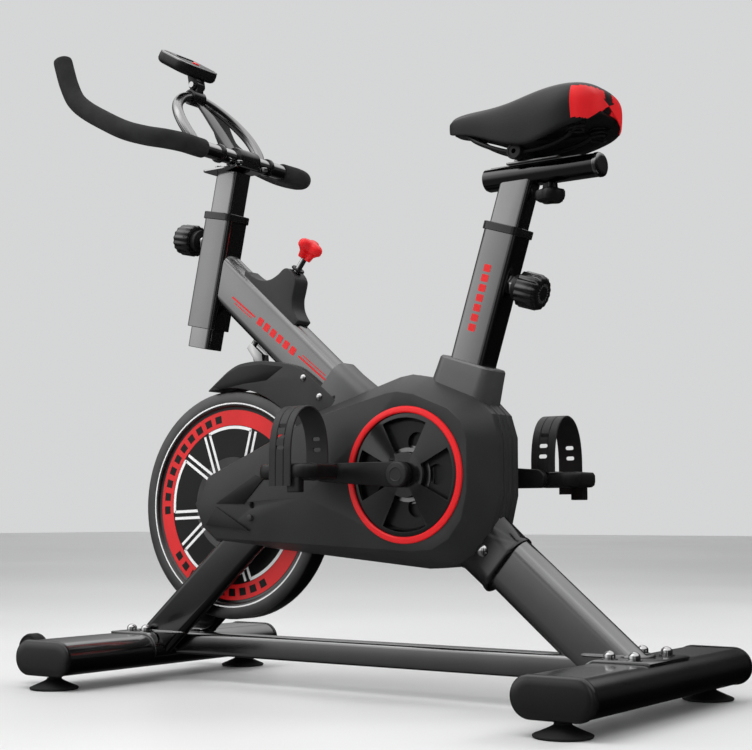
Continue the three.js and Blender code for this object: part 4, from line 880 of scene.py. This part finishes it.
room = turned([(WHEEL_RADIUS + 3.6, -60), (WHEEL_RADIUS + 3.6, 60)], (AXLE.x, 0, AXLE.z), Y, 120)
hollow = plate([(x + 2, z - 3.2) for x, z in FENDER_TOP] + [(402, 330), (120, 330), (120, 470)], -27, 27)
pad_slot = plate([(206, 470), (247, 470), (247, 509), (206, 509)], -17, 17)
stem_slot = plate([(206, 500), (247, 500), (247, 560), (206, 560)], -12, 12)
piece("fender_shell", plate(fender_outline(0, 0), -30, 30), "frame", CASING, ["fender"],
      cuts=[room, hollow, pad_slot, stem_slot], bevel=1.4, segments=3)
lid = plate([(x, z + 0.9) for x, z in FENDER_TOP[1:7]] + [(x, z - 2) for x, z in FENDER_TOP[6:0:-1]], -22, 22)
piece("fender_panel", lid, "frame", GLOSS_BLACK, cuts=[stem_slot], bevel=0.6)
for side, s in SIDES:
    for i, (x, z) in enumerate(((337, 488.5), (369, 457))):
        screw = turned([(6, 0), (6, 0.8), (4.6, 2.4), (2.6, 3.2), (0.5, 3.4)], (x, s * 29.8, z), Y * s, 20)
        piece(f"fender_screw_{i}_{side}", screw, "frame", CHROME)
    panel = [(150, 484), (180, 505), (205, 514), (250, 516), (296, 509), (262, 489), (215, 486), (165, 479)]
    piece(f"fender_side_{side}", plate(panel, min(s * 29.6, s * 30.5), max(s * 29.6, s * 30.5)), "frame",
          PRINT_BLACK, bevel=0.3)

boot_line = [(204, 676), (222, 663), (240, 656), (258, 656), (274, 663), (286, 671), (297, 669), (310, 652),
             (308, 636), (304, 620), (306, 602), (317, 583), (290, 560), (196, 642)]
boot_top = [(p.x, p.z) for p in smooth_line([(x, 0, z) for x, z in boot_line[:12]], 4)] + boot_line[12:]
rod_hole = turned([(6.2, -150), (6.2, 60)], BRAKE_TOP, BRAKE_AXIS, 24)
piece("boot", plate(boot_top, -17, 17), "frame", CASING, ["brake_boot"], cuts=[rod_hole],
      bevel=4,
      segments=4)
lip = turned([(6.4, -4), (11, -4), (11.5, -2.5), (10.4, -0.6), (6.4, -0.4)], BRAKE_TOP, BRAKE_AXIS, 36,
             ring=True)
piece("boot_lip", lip, "frame", BLACK)
shank = turned([(5, -158), (5, 17), (4, 17.2), (4, 43)], BRAKE_TOP, BRAKE_AXIS, 24)
stem = plate([(203, 547), (211, 556), (221, 547), (235, 535), (238, 503), (223, 502), (216, 530)], -9, 9)


def over_wheel(low, high, half, reach=5):
    start, stop = 76 - reach, 76 + reach
    points = arc(AXLE.x, AXLE.z, WHEEL_RADIUS + high, start, stop, 10)
    points += arc(AXLE.x, AXLE.z, WHEEL_RADIUS + low, stop, start, 10)
    return plate(points, -half, half)


piece("brake_rod_bar", shank + stem + over_wheel(17.3, 23.3, 13), "brake_rod", CHROME,
      ["brake_rod"],
      bevel=0.5)
knob_matrix = axes(BRAKE_TOP + BRAKE_AXIS * 34, Y.cross(BRAKE_AXIS), Y, BRAKE_AXIS)


def lobed(radius, depth, lobes, steps=72):
    def section(grow=0):
        points = []
        for i in range(steps):
            angle = 2 * math.pi * i / steps
            r = radius + grow + depth * math.cos(lobes * angle)
            points.append((r * math.cos(angle), r * math.sin(angle)))
        return points
    return section


tri = lobed(18.4, 4.4, 3)
knob_stops = [(-15.5, -11), (-14.5, -10.4), (-6, -8.6), (-1, -4.5), (1.5, -1.2), (4, 0), (9, 0),
              (12.5, -1.6), (15, -5),
              (16, -9), (16.2, -13)]
piece("tri_knob", stack(tri, knob_matrix, knob_stops), "brake_knob", RED, ["brake_knob"],
      cuts=[turned([(4.3, -40), (4.3, 10)], BRAKE_TOP + BRAKE_AXIS * 34, BRAKE_AXIS, 20)], angle=60)


# ---------------------------------------------------------------- collars, posts and lock knobs

for name, tube, section in (("head", HEAD, head_section), ("seat", SEAT, seat_section)):
    top = tube["top"]
    ring = sleeve(tube, section, 0, 0, stops=[(top - 8, 2.2), (top - 7.2, 3), (top + 3.4, 3),
                                              (top + 4.3, 2.2),
                                              (top + 4.4, -3)])
    post = rounded(HEAD["depth"] - 11, HEAD["width"] - 9, 8) if name == "head" else rounded(55, 35, 8)
    bore = sleeve(tube, post, 0, 0, stops=[(top - 60, 0), (top + 60, 0)])
    piece(f"{name}_collar_ring", ring, "frame", GLOSS_BLACK, [f"{name}_collar"], cuts=[bore])

head_post = sleeve(HEAD, rounded(48, 40, 8), -126, 176)
bar_z = 867
plate_z = bar_z - BAR_RADIUS - 1.5
top_plate = stack(rounded(78, 72, 8), axes((162, 0, plate_z), X, Y, Z),
                  [(-4, -1), (-3.2, 0), (-0.8, 0), (0, -1)])
over_top = stack(rounded(300, 200, 4), axes((162, 0, plate_z - 2), X, Y, Z), [(0, 0), (200, 0)])
piece("head_post_tube", head_post, "handlebar_unit", POST, ["handlebar_post"], cuts=[over_top])
piece("head_post_plate", top_plate, "handlebar_unit", CHROME)
saddle_low = turned([(17.5, -25), (18, -24), (18, 24), (17.5, 25)], (184, 0, bar_z), Y, 40)
foot = stack(rounded(34, 50, 3), axes((184, 0, plate_z), X, Y, Z), [(-0.2, 0), (13, 0)])
bar_bore = turned([(12.6, -60), (12.6, 60)], (184, 0, bar_z), Y, 40)
piece("bar_clamp", saddle_low + foot, "handlebar_unit", GLOSS_BLACK, cuts=[bar_bore],
      bevel=0.6)
for i, (x, y) in enumerate(((150, -22), (150, 22), (203, -32), (203, 32))):
    bolt = turned([(6.5, 0), (6.5, 4), (5.5, 5), (3, 5), (3, 2.6), (0.5, 2.6)], (x, y, plate_z), Z, 24)
    piece(f"plate_bolt_{i}", bolt, "handlebar_unit", CHROME)

seat_post_shape = sleeve(SEAT, rounded(54, 34, 8), -110, 190)
over_seat = stack(rounded(400, 200, 4), axes((720, 0, 768), X, Y, Z), [(0, 0), (200, 0)])
piece("seat_post_tube", seat_post_shape, "seat_post", POST, ["seat_post"], cuts=[over_seat])
slide = run(oval(33, 40), (662, 768), (847, 768), 0, [(0, -0.8), (0.8, 0), (180, 0)])
slide_room = stack(rounded(70, 13, 6, 6), axes((790, 0, 780), X, Y, Z), [(0, 0), (20, 0)])
piece("seat_slide_tube", slide, "seat_post", DARK_PAINT_AND_SHADE, cuts=[slide_room])
piece("slide_track", stack(rounded(150, 17, 3), axes((745, 0, 784.2), X, Y, Z),
                           [(-0.5, 0), (0.5, 0), (0.8, -0.6)]),
      "seat_post", STEEL, cuts=[slide_room])
cap_stops = [(0, 0.8), (4, 0.8), (6, 0), (7.4, -2), (8.3, -5), (8.8, -9)]
piece("slide_end_cap", run(oval(33, 40), (842, 768), (850, 768), 0, cap_stops), "seat_post", POST)
piece("slide_front_cap", run(oval(33, 40), (662, 768), (650, 768), 0, [(-1, -2), (0.6, -2.2), (1.4, -4)]),
      "seat_post",
      BLACK)


def lock_knob(name, tube, at, side, reach, body, node):
    origin, depth, up = lean_frame(tube, at)
    axis = depth * side
    start = tube["depth"] / 2 + 0.3
    tall = start + reach
    hub = turned([(5, start - 3), (5, start), (9.6, start), (9.6, tall - 10), (8, tall - 9.8)], origin,
                 axis, 32)
    nut = turned([(15, start + 0.2), (15, start + 9), (13.5, start + 10)], origin, axis, 6)
    flange = turned([(15, tall - 12), (19, tall - 10), (19, tall - 1)], origin, axis, 40)
    barrel = lobed(26.2, 0.8, 16, 128)
    matrix = axes(origin + axis * tall, up, axis.cross(up), axis)
    grip = stack(barrel, matrix, [(-1, -4), (0, -1), (1.5, 0), (28, -0.4), (33, -2.5), (35.4, -6), (36, -9),
                                  (35.6, -10),
                                  (35.4, -18)])
    piece(f"{name}_grip", grip, body, GLOSS_BLACK, [node], angle=40)
    piece(f"{name}_flange", flange, body, BLACK)
    piece(f"{name}_neck", hub + nut, body, CHROME, bevel=0.5)
    ticks = [stack(rounded(4.5, 1.6, 0.5, 2), matrix @ Matrix.Rotation(math.radians(18 * k), 4, "Z")
                   @ Matrix.Translation((12.6, 0, 35.4)), [(-0.4, 0), (0.35, 0)]) for k in range(20)]
    piece(f"{name}_ticks", total(ticks), body, PANEL)


lock_knob("head_lock", HEAD, 53, -1, 28, "head_knob", "head_knob")
lock_knob("seat_lock", SEAT, 27, 1, 18, "seat_knob", "seat_knob")


# ---------------------------------------------------------------- handlebar, arch and console

BAR_HALF = [
    (184, 24, 867), (184, 70, 867), (184, 118, 867), (183, 150, 867.5), (172, 177, 869), (144, 191, 875),
    (100, 196, 890), (48, 196, 916), (10, 196, 938), (-14, 196, 958), (-30, 196, 985), (-40, 196, 1010),
    (-48, 196, 1033),
]
right = [Vector(p) for p in BAR_HALF]
left = [Vector((x, -y, z)) for x, y, z in BAR_HALF]
bar_line = smooth_line(left[::-1] + right, 10)


def stretch(line, low, high):
    """The part of a line between two distances along it."""
    kept, gone = [], 0.0
    for a, b in zip(line, line[1:]):
        step = (b - a).length
        for at in (low, high):
            if gone <= at < gone + step:
                kept.append(a.lerp(b, (at - gone) / step))
        gone += step
        if low < gone < high:
            kept.append(b)
    return kept


def length_of(line):
    return sum((b - a).length for a, b in zip(line, line[1:]))


whole_bar = length_of(bar_line)
piece("bar", swept(stretch(bar_line, 6, whole_bar - 6), BAR_RADIUS, sides=28, smooth=False), "handlebar_unit",
      CHROME, ["handlebar"])
grip_length = whole_bar / 2 - 102
for side, s in SIDES:
    low, high = (0.4, grip_length) if s < 0 else (whole_bar - grip_length, whole_bar - 0.4)
    line = stretch(bar_line, low, high)
    total_length = length_of(line)
    tip_first = s < 0

    def foam_radius(share, tip_first=tip_first, total_length=total_length):
        from_tip = (share if tip_first else 1 - share) * total_length
        from_end = total_length - from_tip
        swell = 15.8 - 3.2 * math.exp(-from_tip / 2.5) - 0.8 * math.exp(-from_end / 2.0)
        return swell

    piece(f"foam_grip_{side}", swept(line, foam_radius, sides=28, smooth=False), "handlebar_unit",
          FOAM,
          [f"grip_{side}"], angle=60)
    ring_at = s * 62
    ring = turned([(12.6, -3.5), (15, -3.5), (15.6, -2.5), (15.6, 2.5), (15, 3.5), (12.6, 3.5)],
                  (184, ring_at, 867),
                  Y, 36, ring=True)
    piece(f"bar_ring_{side}", ring, "handlebar_unit", GLOSS_BLACK)

ARCH_HALF = [(158, 80, 876), (143, 88, 900), (122, 88, 930), (103, 76, 955), (88, 54, 975), (78, 28, 988)]
arch_line = [(x, -y, z) for x, y, z in ARCH_HALF] + [(74, 0, 993)] + [(x, y, z) for x, y,
                                                                      z in ARCH_HALF[::-1]]
arch_start = [(176, -80, 869)] + arch_line + [(176, 80, 869)]
piece("arch_tube", swept(arch_start, 9, 10, 24), "handlebar_unit", POST, ["console_arch"])
top_clamp = turned([(9.2, -15), (13, -15), (13.6, -14), (13.6, 14), (13, 15), (9.2, 15)], (74, 0, 993), Y,
                   36, ring=True)
tongue = plate(link((78, 1014), 9, (76, 996), 8.9), -8, 8)
piece("arch_clamp", top_clamp + tongue, "handlebar_unit", GLOSS_BLACK, bevel=0.5)
piece("pivot_pin", turned([(3, -15.5), (5, -15.5), (5, -13), (3, -13), (3, 13), (5, 13), (5, 15.5),
                           (3, 15.5)],
                          (78, 0, 1014), Y, 24), "handlebar_unit", CHROME)
brace = loft([[(x + dx, y, z) for dx, y in ((-3, -w), (3, -w), (3, w), (-3, w))] for x, z, w in
              ((82, 984, 9), (105, 958, 13), (130, 925, 15), (152, 895, 14), (172, 876, 12))])
piece("arch_brace", brace, "handlebar_unit", GLOSS_BLACK, bevel=1.5, segments=3)

tilt = math.radians(30)
along = Vector((math.cos(tilt), 0, -math.sin(tilt)))
upright = Vector((math.sin(tilt), 0, math.cos(tilt)))
console_at = axes((55, 0, 1053), along, Y, upright)
slab_section = rounded(85, 95, 26, 9)
shell_stops = [(-11, -8), (-10.4, -5.5), (-8, -2), (-4, 0), (4, 0), (7.4, -0.8)]
piece("console_shell", stack(slab_section, console_at, shell_stops), "console", BLACK,
      ["console"],
      angle=50)
bezel = [(7.4, -0.6), (9.2, -0.6), (10.4, -1.8), (10.6, -5)]
piece("console_bezel", stack(slab_section, console_at, bezel), "console", STEEL)
face_plate = [(10.2, -5.2), (10.8, -5.2), (11, -5.8)]
well = stack(rounded(12.8, 12.8, 6.3, 8), console_at @ Matrix.Translation((24, -8, 0)), [(0, 0), (30, 0)])
piece("console_face", stack(slab_section, console_at, face_plate), "console", BLACK,
      cuts=[well])
screen = stack(rounded(34, 58, 5, 5), console_at @ Matrix.Translation((-13, 0, 0)), [(10.9, 0), (11.2, -0.4)])
piece("console_screen", screen, "console", GLOSS_BLACK)
strip_shape = stack(rounded(9, 40, 3, 4), console_at @ Matrix.Translation((-13, 0, 0)),
                    [(11.2, 0), (12.6, -0.6)])
piece("console_strip", strip_shape, "console", PRINT_BLACK, bevel=0.3)
button = [(-7, 0), (1.6, 0), (2.3, -0.6), (2.5, -2)]
piece("console_key", stack(rounded(12, 12, 5.9, 8), console_at @ Matrix.Translation((24, -8, 11)), button),
      "console_button", RED, ["console_button"])
for s in (-1, 1):
    y = s * 10.3
    eye = link((78, 1014), 8, (74, 1034), 7.9)
    piece(f"console_ear_{'left' if s < 0 else 'right'}", plate(eye, y - 2, y + 2), "console",
          BLACK,
          bevel=0.5)


# ---------------------------------------------------------------- saddle

STATIONS = [
    (600, 10, 862, 850, 848), (603, 15, 868, 846, 844), (611, 20, 872, 845, 841), (628, 24, 874, 845, 838),
    (645, 27, 874.5, 844, 834), (668, 30, 874.5, 840, 826), (690, 35, 875, 836, 817),
    (715, 43, 876.5, 833, 808),
    (740, 53, 879, 831, 801), (762, 62, 881, 830, 798), (785, 70, 882.5, 830, 801),
    (803, 74, 883, 830.5, 806),
    (820, 75, 883, 831, 811), (835, 72, 882, 834, 815), (847, 65, 880, 836, 819), (856, 55, 875, 840, 824),
    (861, 40, 866, 846, 834),
]


def saddle_loop(x, half, top, middle_low, skirt):
    """One section of the pad: crowned top, rounded shoulders, and side skirts that hang below the middle."""
    inner = max(half - 5 - max(0, half - 26) * 0.26, half * 0.45)
    side_height = top - skirt
    right_half = [
        (0.0, top), (0.22, top - 0.1), (0.45, top - 0.9), (0.66, top - 3.2), (0.84, top - 8.2),
        (0.95, top - 15 * side_height / 60),
        (1.0, top - side_height * 0.48), (0.985, top - side_height * 0.68),
        (0.955, top - side_height * 0.86), (0.93, skirt),
    ]
    points = [(half * u, z) for u, z in right_half]
    points += [(inner + (half * 0.93 - inner) * 0.35, skirt + 0.6),
               (inner, skirt + (middle_low - skirt) * 0.5), (inner * 0.86, middle_low),
               (inner * 0.4, middle_low + 0.5)]
    mirrored = [(-u, z) for u, z in points[:0:-1]]
    return [(x, u, z) for u, z in points + [(0.0, middle_low + 0.5)] + mirrored]


def saddle_shape(stations):
    return loft([saddle_loop(*station) for station in stations])


pad = piece("saddle_pad", saddle_shape(STATIONS), "saddle", LEATHER, ["saddle"], angle=80,
            levels=2)


def cover_patch(name, source, inside, lift, thick, body, look):
    """A thin moulding over the part of another piece's skin that a test picks out."""
    work = bmesh.new()
    work.from_mesh(source.data)
    away = [face for face in work.faces if not inside(face.calc_center_median(), face.normal)]
    bmesh.ops.delete(work, geom=away, context="FACES")
    for corner in work.verts:
        corner.co += corner.normal * lift * MM
    mesh = bpy.data.meshes.new(name)
    work.to_mesh(mesh)
    work.free()
    thing = bpy.data.objects.new(name, mesh)
    bpy.context.scene.collection.objects.link(thing)
    shell_over = thing.modifiers.new("thick", "SOLIDIFY")
    shell_over.thickness, shell_over.offset = thick * MM, -1
    apply_changes(thing)
    thing.data.shade_smooth()
    thing.data.set_sharp_from_angle(angle=math.radians(50))
    thing.data.materials.append(look)
    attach(thing, body)
    return thing


for side, s in SIDES:
    edge_x = place((835, 0, 0)).x
    low_z, high_z = 0.8225, 0.869

    def on_panel(at, normal, s=s):
        return at.x > edge_x and s * at.y > 0.012 and low_z < at.z < high_z and normal.x > 0.3

    cover_patch(f"saddle_panel_{side}", pad, on_panel, 0.7, 1.6, "saddle", RED)
base_loops = []
for x, half, top, low, skirt in STATIONS[2:-1]:
    inner = max(half - 7 - max(0, half - 26) * 0.26, half * 0.4)
    base_loops.append([(x, -inner, low + 1), (x, inner, low + 1), (x, inner - 2, low - 4),
                       (x, 2 - inner, low - 4)])
piece("saddle_pan", loft(base_loops), "saddle", BLACK, ["saddle_base"], bevel=1)
for side, s in SIDES:
    rail_path = [(630, s * 10, 843), (655, s * 20, 824), (690, s * 20, 808), (722, s * 20, 799.5),
                 (770, s * 20, 802),
                 (810, s * 26, 812), (832, s * 34, 832)]
    piece(f"saddle_rail_{side}", swept(rail_path, 3.5, 8, 16), "saddle", BLACK)
    coil = []
    for i in range(61):
        turn = 2 * math.pi * 3.5 * i / 60
        coil.append((826 + 11 * math.cos(turn), s * 34 + 11 * math.sin(turn), 812 + 20 * i / 60))
    piece(f"saddle_spring_{side}", swept(coil, 2.0, sides=10, smooth=False), "saddle", BLACK)
    ear = turned([(4.6, s * 12.3), (11, s * 12.3), (11, s * 24), (10, s * 25), (4.6, s * 25)],
                 (CLAMP.x, 0, CLAMP.z), Y,
                 36, ring=True)
    piece(f"clamp_ear_{side}", ear, "saddle", BLACK)
    nut = turned([(11, 25.4), (12, 26.4), (12, 30), (11, 31), (9, 31), (8.4, 30), (0.5, 30)],
                 (CLAMP.x, 0, CLAMP.z),
                 Y * s, 36)
    piece(f"clamp_nut_{side}", nut, "saddle_slider", BLACK)
plate_top = 784.8
carriage = stack(rounded(86, 30, 3, 4), axes((743, 0, plate_top), X, Y, Z),
                 [(0, -0.5), (0.5, 0), (2.6, 0), (3, -0.5)])
clamp_post = stack(rounded(20, 24, 3, 4), axes((CLAMP.x, 0, plate_top), X, Y, Z), [(2, 1.5), (4, 0), (16, 0)])
clamp_eye = turned([(10, -12), (11, -11), (11, 11), (10, 12)], (CLAMP.x, 0, CLAMP.z), Y, 36)
clamp_pin = turned([(4, -30), (4, 30)], (CLAMP.x, 0, CLAMP.z), Y, 20)
stud = turned([(5, 731.5), (5, 787)], (766, 0, 0), Z, 20)
piece("carriage", carriage + clamp_post + clamp_eye + clamp_pin + stud, "saddle_slider", STEEL,
      ["saddle_slider"], bevel=0.4)
knob_top = 768 - 16.5 - 0.3
under = lobed(21, 1.7, 5, 90)
under_stops = [(-28, -16), (-27.6, -6), (-25, -1.5), (-20, 0), (-14, 0), (-11, -1.5), (-8.5, -9), (-7, -11),
               (-0.3, -11.5)]
piece("under_knob", stack(under, axes((766, 0, knob_top), X, Y, Z), under_stops), "saddle_knob",
      BLACK,
      ["saddle_knob"], cuts=[turned([(5.5, 700), (5.5, 760)], (766, 0, 0), Z, 20)], angle=40)


# ---------------------------------------------------------------- generic marks on the tubes

def marks_along(start, end, y, s, offset, pieces_of, look, name):
    """A row of short bars along a tube's side face: (from, to, shift across, thickness) in millimetres."""
    a = Vector((start[0], 0, start[1]))
    direction = (Vector((end[0], 0, end[1])) - a).normalized()
    across_it = Y.cross(direction)
    shapes = []
    for low, high, shift, thick in pieces_of:
        middle_point = a + direction * ((low + high) / 2) + across_it * (offset + shift)
        matrix = axes((middle_point.x, s * y, middle_point.z), direction, across_it, Y * s)
        shapes.append(stack(rounded(high - low, thick, min(thick * 0.45, 1.6), 3), matrix,
                            [(-0.3, 0), (0.35, 0)]))
    piece(name, total(shapes), "frame", look)


blocks = [(70 + 17 * k, 82 + 17 * k, 0, 13) for k in range(6)]
stripe = [(0, 62, 0, 3.2), (176, 262, 0, 3.2), (10, 56, 5.5, 1.6), (182, 240, -5.5, 1.6)]
for side, s in SIDES:
    marks_along((181, 633), (390, 472), 21.0, s, 0, blocks + stripe, PRINT_RED, f"down_tube_marks_{side}")
    origin, depth, up = lean_frame(SEAT)
    low_end = origin + up * -70
    high_end = origin + up * 75
    bars = [(18 + 15 * k, 29 + 15 * k, 0, 12) for k in range(7)]
    marks_along((low_end.x, low_end.z), (high_end.x, high_end.z), 23.0, s, -4, bars, PRINT_RED,
                f"seat_tube_marks_{side}")
